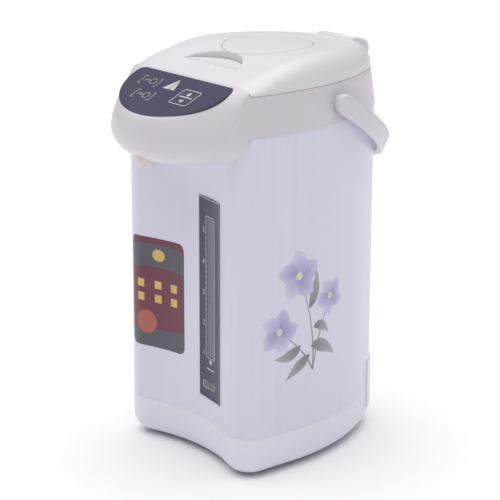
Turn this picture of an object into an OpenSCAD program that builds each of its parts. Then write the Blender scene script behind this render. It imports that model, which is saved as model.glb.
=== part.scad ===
// Electric airpot: a steel-bodied water heater with a pump, a hinged lid and a carry bail.
// Front faces -Y, the pot stands on Z = 0, sizes in millimetres.

/* [Body] */
// Half width of the body at its widest
body_half_w = 96; // [93:0.5:100]
// From the widest point to the back of the body
body_back = 157; // [152:1:162]
// Radius of the rounded back
back_r = 66.5; // [63:0.5:70]
// From the widest point to the front chord
body_front = 62.4; // [60:0.2:65]
// Radius of the two front corners
front_r = 25; // [23.5:0.5:27]
// How far the front dishes in at its middle
front_dish = 12.5; // [11:0.5:14]
// Thickness of the printed steel wrapper
shell_t = 0.8; // [0.5:0.1:1]

/* [Heights] */
// How far the rubber feet lift the base off the table
foot_h = 2; // [1.5:0.25:4]
// Height of the base moulding, up to its joint with the steel wrapper
base_rise = 39; // [36:0.5:43]
// Height of the steel wrapper
shell_rise = 288; // [265:1:315]
// Height of the collar, up to its joint with the lid
collar_rise = 37.5; // [35:0.5:41]
// Rise of the lid's dome over that joint
lid_rise = 26.5; // [25:0.25:28]

/* [Base] */
// Radius of the rounded lower edge of the base
base_fillet = 19; // [15:0.5:20]
// Wall of the base moulding
base_wall = 2.6; // [2:0.1:3]
// Height of the lip that locates the steel wrapper
shell_lip_h = 6; // [4:0.5:8]
// Thickness of the bottom plate
plate_t = 2.5; // [2:0.1:3]
// Radius of one rubber foot
foot_r = 8; // [6:0.5:9]
// Radius of a screw boss in the base
boss_r = 5; // [4.5:0.25:6]
// Radius of a bottom screw's shank
screw_r = 1.6; // [1.4:0.1:2]
// Radius of a bottom screw's head
screw_head_r = 3; // [2.5:0.1:3.4]
// Length of a bottom screw under its head
screw_len = 11; // [8:0.5:13]

/* [Collar and nose] */
// How far the collar stands proud of the steel wrapper
collar_proud = 1; // [0.6:0.1:2]
// How far the collar leans in, up to its joint with the lid
collar_lean = 5; // [4:0.25:5.5]
// Wall of the collar and nose
head_wall = 2.5; // [2:0.1:3]
// How far in front of the widest point the nose arc is centred
nose_fwd = 22.5; // [20:0.5:25]
// How far under the collar's lower edge the nose is fullest
belly_drop = 5; // [3:0.5:8]
// Radius of the nose's lower edge
chin_r = 25; // [23:0.5:27]
// Width of the soft edge round the control panel
nose_edge = 10; // [9:0.25:11]

/* [Lid] */
// Line where the lid meets the nose, in front of the widest point
lid_front = 50; // [48:0.5:51.5]
// Straight rear edge of the lid, behind the widest point
lid_back = 141.5; // [140:0.5:142]
// Width of the lid's rounded edge
lid_edge = 20; // [18:0.5:21]
// Wall of the lid
lid_t = 2.5; // [2:0.1:3]
// Where the dome is highest, behind the widest point
crown_back = 40; // [36:1:44]
// How quickly the dome falls to the front
front_fall = 400; // [385:5:420]
// How quickly the dome falls to the back
back_fall = 2000; // [1600:50:2600]
// Gap round the lid
lid_gap = 0.8; // [0.6:0.05:1]
// Height of the open seam under the lid
seam_gap = 0.4; // [0.3:0.05:0.6]

/* [Finger recess and latch] */
// Radius of the finger recess
scoop_r = 43; // [40:0.5:44]
// Rearmost point of the finger recess, in front of the widest point
scoop_back = 1; // [1:0.25:3]
// How far the latch flap's top face lies under the crown
scoop_drop = 11.5; // [11:0.25:12.5]
// Thickness of the latch flap
flap_t = 2.3; // [2:0.1:2.5]
// Radius of the latch flap's pegs
peg_r = 1; // [0.8:0.05:1.1]

/* [Press plate and pump bellows] */
// Radius of the press plate
plate_r = 43; // [41:0.5:43.5]
// Centre of the press plate, behind the widest point
plate_back = 42; // [42:0.25:44]
// Gap round the press plate
plate_gap = 0.6; // [0.4:0.05:0.8]
// Wall of the plate and of its guide
guide_t = 2; // [1.6:0.1:2.4]
// How far the guide tube reaches under the lid's joint
guide_drop = 6.5; // [4.5:0.5:7.5]
// How deep the plate's skirt reaches under the crown
plate_depth = 13; // [12:0.5:15]
// Outer radius of the bellows
bellows_r = 36; // [33:0.5:37]
// Number of folds in the bellows
bellows_folds = 5; // [4:1:6]
// Outer radius of the return spring
spring_r = 20; // [17:0.5:23]
// Wire of the return spring
spring_wire = 2; // [1.6:0.1:2.4]

/* [Lid hinge] */
// Hinge pin behind the widest point
pin_back = 139; // [138.5:0.1:139.5]
// Gap between the hinge hump and the lid's joint
hump_gap = 0.7; // [0.5:0.1:1.2]
// Radius of the hinge pin
pin_r = 3; // [2.5:0.1:3.3]
// Half width of the hinge hump
hump_half_w = 26; // [24.5:0.5:28]
// Radius of the hinge hump
hump_r = 12.3; // [11.8:0.1:12.5]
// Half width of the fixed knuckle
knuckle_half_w = 19.6; // [17:0.2:21]
// Radius of the fixed knuckle
knuckle_r = 8; // [7:0.1:8.4]
// Radial clearance of a pin that turns
run_gap = 0.05; // [0.03:0.01:0.08]

/* [Carry handle] */
// Gap between the collar and the handle's arms at the pivots
arm_gap = 1.6; // [1.3:0.1:3]
// How far the outside of the grip hangs behind the body
grip_space = 14; // [13.2:0.2:18]
// Thickness of the handle
handle_t = 7; // [6:0.1:7.2]
// Width of the handle's band
handle_w = 19; // [18:0.5:20]
// How much tighter the grip's rounded end is than the body's back
grip_ease = 2.5; // [0:0.5:4]
// Pivots behind the widest point
pivot_back = 56; // [55:0.1:57]
// Height of the pivots over the collar's lower edge
pivot_rise = 18; // [16.5:0.25:19.5]
// Radius of a pivot peg
pivot_r = 4; // [3.5:0.1:4.5]
// Radius of a pivot boss on the collar
pivot_boss_r = 8; // [7:0.25:9]
// Gap between the handle and its boss
pivot_gap = 0.5; // [0.4:0.05:0.7]
// Angle at which the handle hangs below level
handle_hang = 32; // [31:0.5:33]

/* [Control panel] */
// Where the panel's upper edge lies, in front of the widest point
panel_front = 53; // [52.5:0.1:54]
// Slope of the panel
panel_slope = 25; // [24:0.25:26]
// Half width of the panel
panel_half_w = 71; // [68:0.5:72]
// Length of the panel down its slope
panel_len = 63.5; // [61:0.25:64]
// Corner radius at the panel's upper ends
panel_corner = 8; // [6:0.25:9]
// Thickness of the printed overlay
overlay_t = 0.6; // [0.4:0.05:0.8]
// Thickness of the panel frame
frame_t = 3; // [2.5:0.1:3.5]
// Width of the dispense key
key_w = 27; // [24:0.5:29]
// Length of the dispense key down the slope
key_l = 24; // [21:0.5:25]
// Sideways place of the dispense key
key_x = 28; // [27:0.25:30]
// Place of the dispense key down the slope
key_down = 27.5; // [26:0.25:28]
// Travel of the dispense key
key_travel = 0.8; // [0.5:0.05:1]
// Radius of an indicator lens
lens_r = 3; // [2.5:0.1:3.4]
// Thickness of a circuit board
board_t = 1.6; // [1.2:0.1:2]
// How deep the control board lies under the panel
board_depth = 10.4; // [10:0.1:11]

/* [Level strip] */
// Middle of the level strip, right of centre
strip_x = 32; // [31:0.25:33]
// Width of the level strip
strip_w = 40; // [36:0.5:41]
// From the base's joint up to the level strip
strip_rise = 23; // [20.5:0.5:27]
// From the collar down to the level strip
strip_drop = 67; // [60:0.5:74]
// How far the strip stands proud of the wrapper
strip_proud = 0.6; // [0.3:0.05:1]
// Depth of the strip behind the wrapper's face
strip_depth = 1.4; // [1.1:0.05:1.8]
// Width of the clear window
window_w = 14; // [12:0.25:16]
// Middle of the clear window, right of centre
window_x = 33; // [32.5:0.25:33.5]
// From the strip's lower end up to the clear window
window_rise = 43; // [38:0.5:47]
// From the strip's upper end down to the clear window
window_drop = 19; // [16:0.5:22]
// Outer radius of the water tubes
tube_r = 5.5; // [5:0.1:5.6]
// Bore radius of the water tubes
tube_bore_r = 4; // [3.5:0.1:4.2]

/* [Vessel and heaters] */
// From the body's widest point in to the vessel
vessel_clear = 15.5; // [15:0.25:17]
// Wall of the vessel
vessel_t = 0.8; // [0.6:0.05:1]
// Height of the vessel's floor over the base's joint
floor_rise = 23; // [21:0.5:26]
// Radius of the vessel's lower edge
vessel_round = 5; // [4:0.25:6]
// How much narrower the mouth in the collar is than the vessel
mouth_step = 7.5; // [7:0.25:9]
// How far the collar's seat over the vessel lies under the lid's joint
seat_drop = 14.5; // [13:0.5:16]
// Thickness of the seal on the vessel's flange
seal_t = 2; // [1.5:0.1:2.5]
// From the vessel's wall in to the heater plate's edge
heater_inset = 13; // [10:0.5:19]
// Thickness of the heater plate
heater_t = 7; // [5:0.25:8]
// Height of the band heater
band_h = 30; // [24:1:40]
// Thickness of the band heater
band_t = 1.6; // [1:0.1:1.7]

/* [Water pump] */
// Radius of the pump housing
pump_r = 20; // [18.5:0.25:21]
// Height of the pump housing's floor over the base's underside
pump_rise = 29; // [27:0.25:31]
// Height of the pump housing
pump_body_h = 14; // [13:0.25:15]
// Radius of the pump motor
motor_r = 15; // [13:0.25:16]
// Radius of the impeller
impeller_r = 15; // [13:0.25:15.5]
// Pump's sideways place, left of centre
pump_left = 20; // [19:0.25:21]
// Pump's place in front of the widest point
pump_front = 25; // [24.5:0.1:25.5]

/* [Spout] */
// Spout in front of the widest point
spout_front = 102; // [100:0.5:103]
// Radius of the spout nozzle
spout_r = 10; // [9:0.25:10.5]
// How far the nozzle shows under the nose
spout_proud = 3.5; // [2:0.25:5]

/* [Power inlet] */
// Half width of the inlet housing
inlet_half_w = 34; // [32:0.5:35]
// Height of the inlet housing's lower edge over the base's underside
inlet_rise = 31; // [29:0.25:33]
// Height of the inlet housing
inlet_h = 34; // [31:0.5:37]
// Depth of the inlet housing
inlet_body = 30; // [28:0.5:33]
// How far the inlet's face stands behind the body
inlet_proud = 1.5; // [1:0.1:2.5]
// Depth of the inlet's cavity
inlet_deep = 18; // [16:0.25:19]
// Half width of the flange round the inlet housing
flange_half_w = 57; // [54:0.5:58]
// How far the flange reaches under the inlet housing
flange_drop = 10.5; // [8:0.25:11]
// How far the flange reaches over the inlet housing
flange_lift = 3; // [1:0.25:5]
// How deep the flange is let into the body
flange_deep = 5; // [4.4:0.1:6]
// Sideways pitch of the inlet's pins
pin_pitch = 10; // [8.5:0.25:11.5]

/* [Power board and thermostats] */
// Width of the power board
power_w = 60; // [52:1:66]
// Length of the power board
power_l = 56; // [50:1:60]
// Front edge of the power board, behind the widest point
power_back = 56; // [52:0.5:60]
// Height of the power board's standoffs
standoff_h = 7; // [5:0.25:8]
// Height of the transformer on the power board
transformer_h = 18; // [15:0.5:20]
// Radius of a thermostat
thermostat_r = 8; // [6:0.25:9]
// Height of a thermostat
thermostat_h = 8; // [6:0.25:9]
// Sideways place of a thermostat
thermostat_x = 32; // [28:0.5:36]

/* [Hidden] */
$fn = 64;
fit_gap = 0.15;
eps = 0.01;

// Radii inside the body
vessel_r = body_half_w - vessel_clear;
mouth_r = vessel_r - mouth_step;
heater_r = vessel_r - heater_inset;

// Heights over the table
base_h = foot_h;
seam_h = base_h + base_rise;
collar_h = seam_h + shell_rise;
lid_seam_h = collar_h + collar_rise;
crown_h = lid_seam_h + lid_rise;
belly_h = collar_h - belly_drop;
scoop_h = crown_h - scoop_drop;
guide_h = lid_seam_h - guide_drop;
plate_low_h = crown_h - plate_depth;
pin_h = lid_seam_h + hump_r + hump_gap;
pivot_h = collar_h + pivot_rise;
strip_low_h = seam_h + strip_rise;
strip_top_h = collar_h - strip_drop;
window_low_h = strip_low_h + window_rise;
window_top_h = strip_top_h - window_drop;
vessel_floor_h = seam_h + floor_rise;
mouth_low_h = lid_seam_h - seat_drop;
pump_low_h = base_h + pump_rise;
inlet_low_h = base_h + inlet_rise;
inlet_top_h = inlet_low_h + inlet_h;

// Plan outline of the body: a dished front between two corners, side arcs and a round back
side_r = (pow(body_half_w, 2) + pow(body_back - back_r, 2) - pow(back_r, 2)) / (2 * (body_half_w - back_r));
side_cx = body_half_w - side_r;
back_cy = body_back - back_r;
join_a = atan2(back_cy, -side_cx);
corner_x = body_half_w - front_r;
corner_y = front_r - body_front;
corner_rise = front_r - front_dish;
dish_r = (pow(corner_x, 2) + pow(corner_rise, 2) - pow(front_r, 2)) / (2 * front_dish);
dish_cy = front_dish - body_front - dish_r;
dish_a = atan2(corner_y - dish_cy, corner_x);

// Head: the nose arc runs into the collar's sides
nose_r = body_half_w + collar_proud;
nose_cy = -nose_fwd;
lid_y = -lid_front;
step_y = lid_y - lid_gap;
rim_h = lid_seam_h - seam_gap;
deck_h = rim_h - head_wall;
panel_y = -panel_front;
panel_h = dome_h(panel_y);
step_phi = asin((-step_y - nose_fwd) / (nose_r - collar_lean));
full_phi = 35;
width_phi = 70;

// Panel marks, sideways and down the slope
lens_spots = [[-33.4, -16.6], [-20.5, -36.8]];
board_size = [104, 32];
board_mid = -24;
post_r = 2.5;
post_inset = 5;

// Places under the lid
plate_c = [0, plate_back];
hole_r = plate_r + plate_gap;
scoop_cy = -scoop_back - scoop_r;
flap_low_h = scoop_h - flap_t;
flap_gap = 0.4;
pan_low_h = flap_low_h - flap_gap - lid_t;
cover_r = mouth_r - 4;
cover_low_h = mouth_low_h;
flange_h = lid_seam_h + 2.1;
flange_r = mouth_r + 7;
gasket_gap = 0.3;
lid_screw_spots = [for (a = [90, 200, 340]) polar(plate_c, cover_r - 12, a)];

// Places in the base
plate_top_h = base_h + plate_t;
plate_inset = base_fillet + base_wall + 1.8;
foot_spots = [[-56, -24], [56, -24], [-38, 100], [38, 100]];
screw_spots = [[-62, 6], [62, 6], [-50, 78], [50, 78]];
boss_low_h = plate_top_h;
boss_h = screw_len + 2;
rib_t = 3;
mount_h = 4;
standoff_r = 3;
standoff_inset = 6;
shaft_r = 1.5;
shaft_len = 5.5;
vane_t = 1.5;
vane_h = 3;
vane_in = 5;
pump_c = [-pump_left, -pump_front];
drain_r = 5;
outlet_h = pump_low_h + pump_body_h / 2;
tube_c = [window_x, -body_front + front_dish + 6.9];
tube_low_h = vessel_floor_h + 2;
tube_top_h = collar_h + 1;
pipe_h = collar_h + 1 + tube_r;
spout_c = [0, -spout_front];
inlet_face = body_back + inlet_proud;
inlet_wall = 12;
pin_drop = 3;
pin_lift = 4;
pin_hold = 8;
pin_stand = 11;

// Carry handle, clear of the collar at its pivots and of the body behind
pivot_wall_x = side_cx + sqrt(pow(side_r + collar_proud, 2) - pow(pivot_back, 2));
handle_half_w = pivot_wall_x + arm_gap + handle_t;
handle_reach = (body_back - pivot_back + grip_space) / cos(handle_hang);
grip_r = back_r - grip_ease;

// The finished pot's front and back, which centre it on the origin
front_reach = nose_cy - nose_r;
back_reach = pivot_back + handle_reach * cos(handle_hang) + handle_w / 2 * sin(handle_hang);
origin_y = (front_reach + back_reach) / 2;
module placed() { translate([0, -origin_y, 0]) children(); }

// Curves
function polar(c, r, a) = [c[0] + r * cos(a), c[1] + r * sin(a)];
function arc(c, r, a0, a1, n, last = 0) = [for (i = [0 : n - 1 + last]) polar(c, r, a0 + (a1 - a0) * i / n)];
function mix(a, b, t) = a + (b - a) * t;
function smooth(t) = let (u = max(0, min(1, t))) u * u * (3 - 2 * u);
function dome_h(y) = crown_h - pow(y - crown_back, 2) / (y < crown_back ? front_fall : back_fall);
function dome_front(h) = crown_back - sqrt((crown_h - h) * front_fall);
function top_h(y) = y < panel_y ? panel_h - (panel_y - y) * tan(panel_slope) : dome_h(y);

// Body outline, drawn in by d
function body_outline(d) = concat(
  arc([0, dish_cy], dish_r + d, 180 - dish_a, dish_a, 12),
  arc([corner_x, corner_y], front_r - d, dish_a - 180, 0, 8, 1),
  arc([side_cx, 0], side_r - d, 0, join_a, 12),
  arc([0, back_cy], back_r - d, join_a, 180 - join_a, 16),
  arc([-side_cx, 0], side_r - d, 180 - join_a, 180, 12, 1),
  arc([-corner_x, corner_y], front_r - d, 180, 360 - dish_a, 8));

// Closed skin over rings of points: the ends are capped, or joined when the rings come full circle
module loft(rings, looped = false) {
  n = len(rings[0]);
  m = len(rings);
  steps = looped ? m : m - 1;
  sides = [for (j = [0 : steps - 1]) for (i = [0 : n - 1])
    let (a = j * n + i, b = j * n + (i + 1) % n, c = (j + 1) % m * n + (i + 1) % n, d = (j + 1) % m * n + i)
    each [[a, c, b], [a, d, c]]];
  ends = [middle(rings[0]), middle(rings[m - 1])];
  caps = [for (i = [0 : n - 1]) each [[m * n, i, (i + 1) % n],
    [m * n + 1, (m - 1) * n + (i + 1) % n, (m - 1) * n + i]]];
  points = [for (ring = rings) each ring];
  polyhedron(points = looped ? points : concat(points, ends), faces = looped ? sides : concat(sides, caps));
}
function middle(ring) = [for (k = [0 : 2]) (min([for (p = ring) p[k]]) + max([for (p = ring) p[k]])) / 2];
function lift(outline, h) = [for (p = outline) [p[0], p[1], h]];

// Local frame of the sloping panel: x across, y up the slope, z out of it
module on_panel() { translate([0, panel_y, panel_h]) rotate([panel_slope, 0, 0]) children(); }

// Axis along X through the point [y, z]
module along_x(p, r, x0, x1) { translate([x0, p[0], p[1]]) rotate([0, 90, 0]) cylinder(r = r, h = x1 - x0); }

module outer_shell() {
  color([0.84, 0.84, 0.88]) difference() {
    translate([0, 0, seam_h]) linear_extrude(collar_h - seam_h) difference() {
      polygon(body_outline(0));
      polygon(body_outline(shell_t));
    }
    strip_block(fit_gap, strip_proud + 1, strip_depth + 1);
    inlet_block(fit_gap);
  }
}

// Base moulding: rounded lower edge, a lip inside the wrapper and bosses for the bottom screws
function base_ring(k) = let (a = 90 * k / 5) [base_fillet * (1 - sin(a)), base_h + base_fillet * (1 - cos(a))];
module base_moulding() {
  inner_r = base_fillet - base_wall;
  outer = [for (k = [0 : 5]) lift(body_outline(base_ring(k)[0]), base_ring(k)[1])];
  lip_in = shell_t + fit_gap;
  upper = [lift(body_outline(0), seam_h), lift(body_outline(lip_in), seam_h),
    lift(body_outline(lip_in), seam_h + shell_lip_h), lift(body_outline(lip_in + base_wall), seam_h + shell_lip_h)];
  inner = [for (k = [5 : -1 : 0]) let (a = 90 * k / 5)
    lift(body_outline(lip_in + base_wall + inner_r * (1 - sin(a))), base_h + base_wall + inner_r * (1 - cos(a)))];
  foot = [lift(body_outline(base_fillet + base_wall + lip_in), base_h)];
  color([0.9, 0.89, 0.9]) difference() {
    union() {
      loft(concat(outer, upper, inner, foot), true);
      for (p = screw_spots) base_boss(p);
    }
    inlet_block(fit_gap);
  }
}
module base_boss(p) {
  rib_len = body_half_w - abs(p[0]);
  difference() {
    union() {
      translate([p[0], p[1], boss_low_h]) cylinder(r = boss_r, h = boss_h);
      intersection() {
        translate([p[0] - (p[0] < 0 ? rib_len : 0), p[1] - rib_t / 2, plate_top_h + fit_gap])
          cube([rib_len, rib_t, boss_h]);
        translate([0, 0, base_h]) linear_extrude(seam_h) polygon(body_outline(base_fillet / 2));
      }
    }
    translate([p[0], p[1], boss_low_h - 1]) cylinder(r = screw_r, h = screw_len + 1);
  }
}

module bottom_plate() {
  color([0.55, 0.55, 0.57]) difference() {
    union() {
      translate([0, 0, base_h]) linear_extrude(plate_t) polygon(body_outline(plate_inset));
      for (x = [-1, 1]) for (y = [standoff_inset, power_l - standoff_inset])
        translate([x * (power_w / 2 - standoff_inset), power_back + y, plate_top_h]) cylinder(r = standoff_r, h = standoff_h);
      intersection() {
        translate([pump_c[0], pump_c[1], plate_top_h]) cylinder(r = motor_r - 2, h = mount_h);
        translate([0, 0, base_h]) linear_extrude(plate_t + mount_h + 1) polygon(body_outline(plate_inset));
      }
    }
    for (p = screw_spots) translate([p[0], p[1], base_h - 1]) {
      cylinder(r = screw_r + fit_gap, h = plate_t + 2);
      cylinder(r = screw_head_r + fit_gap, h = 2.2);
    }
  }
}

module rubber_feet() {
  color([0.2, 0.2, 0.21]) for (p = foot_spots) translate([p[0], p[1], 0]) rotate_extrude()
    polygon([[0, 0], [foot_r - 0.6, 0], [foot_r, 0.6], [foot_r, foot_h], [0, foot_h]]);
}

module bottom_screws() {
  color([0.6, 0.61, 0.62]) for (p = screw_spots) translate([p[0], p[1], base_h]) {
    cylinder(r = screw_head_r, h = 1.2);
    translate([0, 0, 1.2 - eps]) cylinder(r = screw_r, h = screw_len - 1);
  }
}

// Head outline by column: the nose arc with a column on each side of the lid's front, then the collar
nose_half = concat([for (k = [0 : 3]) (step_phi - 0.15) * k / 3],
  [for (k = [0 : 13]) step_phi + (90 - step_phi) * k / 13]);
nose_phi = concat(nose_half, [for (k = [len(nose_half) - 2 : -1 : 0]) nose_half[k]]);
nose_n = len(nose_phi);
side_n = 10;
back_n = 14;
head_n = nose_n + 2 * side_n + back_n + 1;
function nose_a(i) = i < nose_n / 2 ? 180 + nose_phi[i] : 360 - nose_phi[i];
function head_pt(i, e) = let (s = i - nose_n, b = s - side_n, l = b - back_n)
  s < 0 ? polar([0, nose_cy], nose_r - e, nose_a(i))
  : b < 0 ? polar([side_cx, 0], side_r + collar_proud - e, join_a * s / side_n)
  : l < 0 ? polar([0, back_cy], back_r + collar_proud - e, join_a + (180 - 2 * join_a) * b / back_n)
  : polar([-side_cx, 0], side_r + collar_proud - e, 180 - join_a + join_a * l / side_n);

// Soft edge of the nose: start height, width, power and depth at a column, on a wall that leans in
function is_front(i) = i < nose_n && nose_phi[i] > step_phi - 0.1;
function edge_blend(i, phi) = i < nose_n ? smooth((nose_phi[i] - step_phi) / (phi - step_phi)) : 0;
function edge_s(i) = edge_blend(i, full_phi);
function lean(i, h) = collar_lean * (1 - edge_s(i)) * max(0, min(1, (h - collar_h) / collar_rise));
function edge_low(i) = mix(lid_seam_h, belly_h, edge_s(i));
function edge_w(i) = mix(lid_edge, nose_edge, edge_blend(i, width_phi));
function edge_p(i) = mix(2, 1.5, edge_s(i));
function edge_high(i) = top_h(head_pt(i, edge_w(i) + lean(i, crown_h))[1]);
function edge_e(i, h) = let (t = max(0, h - edge_low(i)) / (edge_high(i) - edge_low(i)))
  edge_w(i) * (1 - pow(1 - pow(t, edge_p(i)), 1 / edge_p(i)));
function edge_h(i, e) = let (t = 1 - min(1, e / edge_w(i)), low = edge_low(i))
  low + (edge_high(i) - low) * pow(1 - pow(t, edge_p(i)), 1 / edge_p(i));
function edge_end(i) = min(edge_w(i), nose_r + (step_y - nose_cy) / sin(nose_phi[i]) - lean(i, crown_h));

// One column of the housing, as a loop of [x, y, z] from its lower edge over the deck and back inside
edge_steps = [0.04, 0.14, 0.3, 0.5, 0.75, 1];
function at(p, h) = [p[0], p[1], h];
function skin(i, e, h) = at(head_pt(i, e + lean(i, h)), h);
function housing_column(i) = is_front(i) ? front_column(i) : side_column(i);
function mouth_pt(i, r) = let (p = head_pt(i, 0) - plate_c) plate_c + p * r / norm(p);
function seat(i) = [at(mouth_pt(i, mouth_r), rim_h), at(mouth_pt(i, mouth_r), mouth_low_h),
  at(mouth_pt(i, seat_r), mouth_low_h), at(mouth_pt(i, seat_r), mouth_low_h + head_wall),
  at(mouth_pt(i, mouth_r + head_wall), mouth_low_h + head_wall), at(mouth_pt(i, mouth_r + head_wall), deck_h)];
seat_r = vessel_r + 3;
function front_column(i) =
  let (h1 = max(edge_low(i), collar_h + 2), e0 = edge_e(i, collar_h), e1 = edge_e(i, h1), e9 = max(edge_end(i), e1 + 0.05),
    h9 = edge_h(i, e9), p9 = head_pt(i, e9 + lean(i, h9)), m = mouth_pt(i, mouth_r),
    t = max(0.01, (step_y - p9[1]) / (m[1] - p9[1])), b = mix(p9, m, t), deck = max(top_h(b[1]), h9 + eps),
    bi = [b[0], step_y - head_wall], y8 = mix(p9, b, 0.8)[1],
    h8 = (t > 0.02 ? top_h(y8) : h9 + 0.5) - head_wall * 1.2, h_mid = mix(h1, h9, 0.45), e_mid = edge_e(i, h_mid),
    e8 = nose_r + (step_y - head_wall - nose_cy) / sin(nose_phi[i]) - lean(i, crown_h), e7 = e8 - 1.5,
    inner = t > 0.02 && e8 < e9
      ? [skin(i, e8, edge_h(i, e8) - head_wall * 1.2), skin(i, e7, edge_h(i, e7 - head_wall) - head_wall)]
      : [at(mix(p9, b, 0.8), h8), skin(i, e9 + head_wall, h9 - head_wall * 1.3)])
  concat([skin(i, e0, collar_h), skin(i, e1, h1)],
    [for (g = edge_steps) let (e = mix(e1, e9, g)) skin(i, e, edge_h(i, e))],
    [at(b, min(deck, top_h(step_y))), at(b + [0, eps], rim_h)],
    seat(i),
    [at(mix(bi, m, t > 0.02 ? 0.04 : 0.1), deck_h)],
    inner,
    [skin(i, e_mid + head_wall, min(h_mid - 1, h9 - 2 * head_wall)), skin(i, e0 + head_wall, collar_h)]);
function side_column(i) =
  let (m = mouth_pt(i, mouth_r), p = head_pt(i, collar_lean + 4), q = head_pt(i, collar_lean + head_wall))
  concat([skin(i, 0, collar_h)], [for (g = [0.9, 1]) skin(i, 0, mix(collar_h, rim_h, g))],
    [for (k = [1 : 5]) at(head_pt(i, collar_lean + 4 * k / 5), rim_h)],
    [at(mix(p, m, 0.3), rim_h), at(mix(p, m, 0.6), rim_h)],
    seat(i),
    [at(mix(q, m, 0.3), deck_h), at(mix(q, m, 0.15), deck_h)],
    [at(q, deck_h), skin(i, head_wall, mix(collar_h, deck_h, 0.5)), skin(i, head_wall, collar_h)]);

module upper_housing() {
  columns = [for (i = [0 : head_n - 1]) housing_column(i)];
  rings = [for (j = [0 : len(columns[0]) - 1]) [for (c = columns) c[j]]];
  color([0.9, 0.89, 0.9]) difference() {
    union() {
      loft(rings, true);
      for (s = [-1, 1]) pivot_boss(s);
      knuckle();
    }
    on_panel() translate([0, 0, -8]) linear_extrude(16) polygon(panel_outline(-fit_gap));
    for (s = [-1, 1]) pivot_bore(s);
    along_x([pin_back, pin_h], pin_r, -knuckle_half_w - 1, knuckle_half_w + 1);
  }
}
handle_in = handle_half_w - handle_t;
boss_in = pivot_wall_x - collar_lean * pivot_rise / collar_rise - 0.9 * head_wall;
module pivot_boss(s) {
  x1 = handle_in - pivot_gap;
  along_x([pivot_back, pivot_h], pivot_boss_r, s > 0 ? boss_in : -x1, s > 0 ? x1 : -boss_in);
}
module pivot_bore(s) {
  x0 = handle_in - peg_len;
  along_x([pivot_back, pivot_h], pivot_r + run_gap, s > 0 ? x0 - 0.4 : -handle_in, s > 0 ? handle_in : 0.4 - x0);
}
peg_len = 5;
module knuckle() {
  post = knuckle_r - 1;
  translate([-knuckle_half_w, pin_back - post, rim_h - 1])
    cube([2 * knuckle_half_w, 2 * post, pin_h - rim_h + 1]);
  along_x([pin_back, pin_h], knuckle_r, -knuckle_half_w, knuckle_half_w);
}

chin_end_y = corner_y - 0.72 * front_r;
// Bowl under the nose, turned about the nose arc's centre and cut to the wrapper's front
module nose_underside() {
  cr = nose_r - chin_r;
  edge_top = nose_r - edge_e(floor(nose_n / 2), collar_h);
  low = belly_h - chin_r;
  in_r = chin_r - head_wall;
  color([0.9, 0.89, 0.9]) difference() {
    translate([0, nose_cy, 0]) rotate_extrude($fn = 96) polygon(concat(
      [[0, low]], arc([cr, belly_h], chin_r, -90, 0, 12, 1), [[edge_top, collar_h], [edge_top - head_wall, collar_h]],
      arc([cr, belly_h], in_r, 0, -90, 12, 1), [[0, low + head_wall]]));
    translate([0, 0, low - 1]) linear_extrude(collar_h - low + 2) polygon(body_outline(-fit_gap));
    translate([-2 * nose_r, chin_end_y, low - 1]) cube([4 * nose_r, 4 * nose_r, collar_h]);
    translate([spout_c[0], spout_c[1], low - 1]) cylinder(r = spout_r + fit_gap, h = chin_r);
  }
}

// Panel outline in its own plane, drawn in by d: a half ellipse under two rounded corners
function panel_outline(d) = let (w = panel_half_w - d, l = panel_len - panel_corner - d, c = panel_corner - d)
  concat([for (k = [0 : 36]) let (a = 180 + 180 * k / 36) [w * cos(a), -panel_corner + l * sin(a)]],
    arc([w - c, -panel_corner], c, 15, 90, 5, 1), arc([c - w, -panel_corner], c, 90, 165, 5, 1));

module key_block(grow, z0, z1) {
  translate([key_x, -key_down, (z0 + z1) / 2])
    cube([key_w + 2 * grow, key_l + 2 * grow, z1 - z0], center = true);
}
module panel_frame() {
  bx = board_size[0] / 2 - post_inset;
  by = board_size[1] / 2 - post_inset;
  color([0.35, 0.33, 0.38]) on_panel() difference() {
    union() {
      translate([0, 0, -overlay_t - frame_t]) linear_extrude(frame_t) polygon(panel_outline(0));
      for (x = [-bx, bx]) for (y = [-by, by]) translate([x, board_mid + y, -board_depth])
        cylinder(r = post_r, h = board_depth - overlay_t - frame_t + eps);
    }
    key_block(plate_gap / 2, -frame_t - 2, 1);
    for (p = lens_spots) translate([p[0], p[1], -frame_t - 2]) cylinder(r = lens_r + fit_gap, h = frame_t + 3);
  }
}
module panel_overlay() {
  color([0.33, 0.31, 0.4]) on_panel() difference() {
    translate([0, 0, -overlay_t]) linear_extrude(overlay_t) polygon(panel_outline(0));
    key_block(plate_gap / 2, -frame_t - 2, 1);
    for (p = lens_spots) translate([p[0], p[1], -1]) cylinder(r = lens_r + fit_gap, h = 2);
  }
}
module indicator_lenses() {
  color([0.75, 0.73, 0.78]) on_panel() for (p = lens_spots) translate([p[0], p[1], -overlay_t - frame_t])
    cylinder(r = lens_r, h = overlay_t + frame_t + 0.1);
}
stem_low = -board_depth + 1.4;
module control_board() {
  color([0.16, 0.36, 0.22]) on_panel() {
    translate([0, board_mid, -board_depth - board_t / 2])
      cube([board_size[0], board_size[1], board_t], center = true);
    translate([key_x, -key_down, -board_depth - eps]) cylinder(r = 3, h = 1.4 - key_travel - 0.1);
    for (p = lens_spots) translate([p[0], p[1], -board_depth - eps])
      cylinder(r = 2.4, h = board_depth - overlay_t - frame_t - 0.3);
  }
}
module dispense_key() {
  color([0.36, 0.34, 0.42]) on_panel() {
    key_block(0, -overlay_t - frame_t, 0.2);
    translate([key_x, -key_down, stem_low]) cylinder(r = 3, h = -stem_low - overlay_t - frame_t + eps);
  }
}

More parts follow.
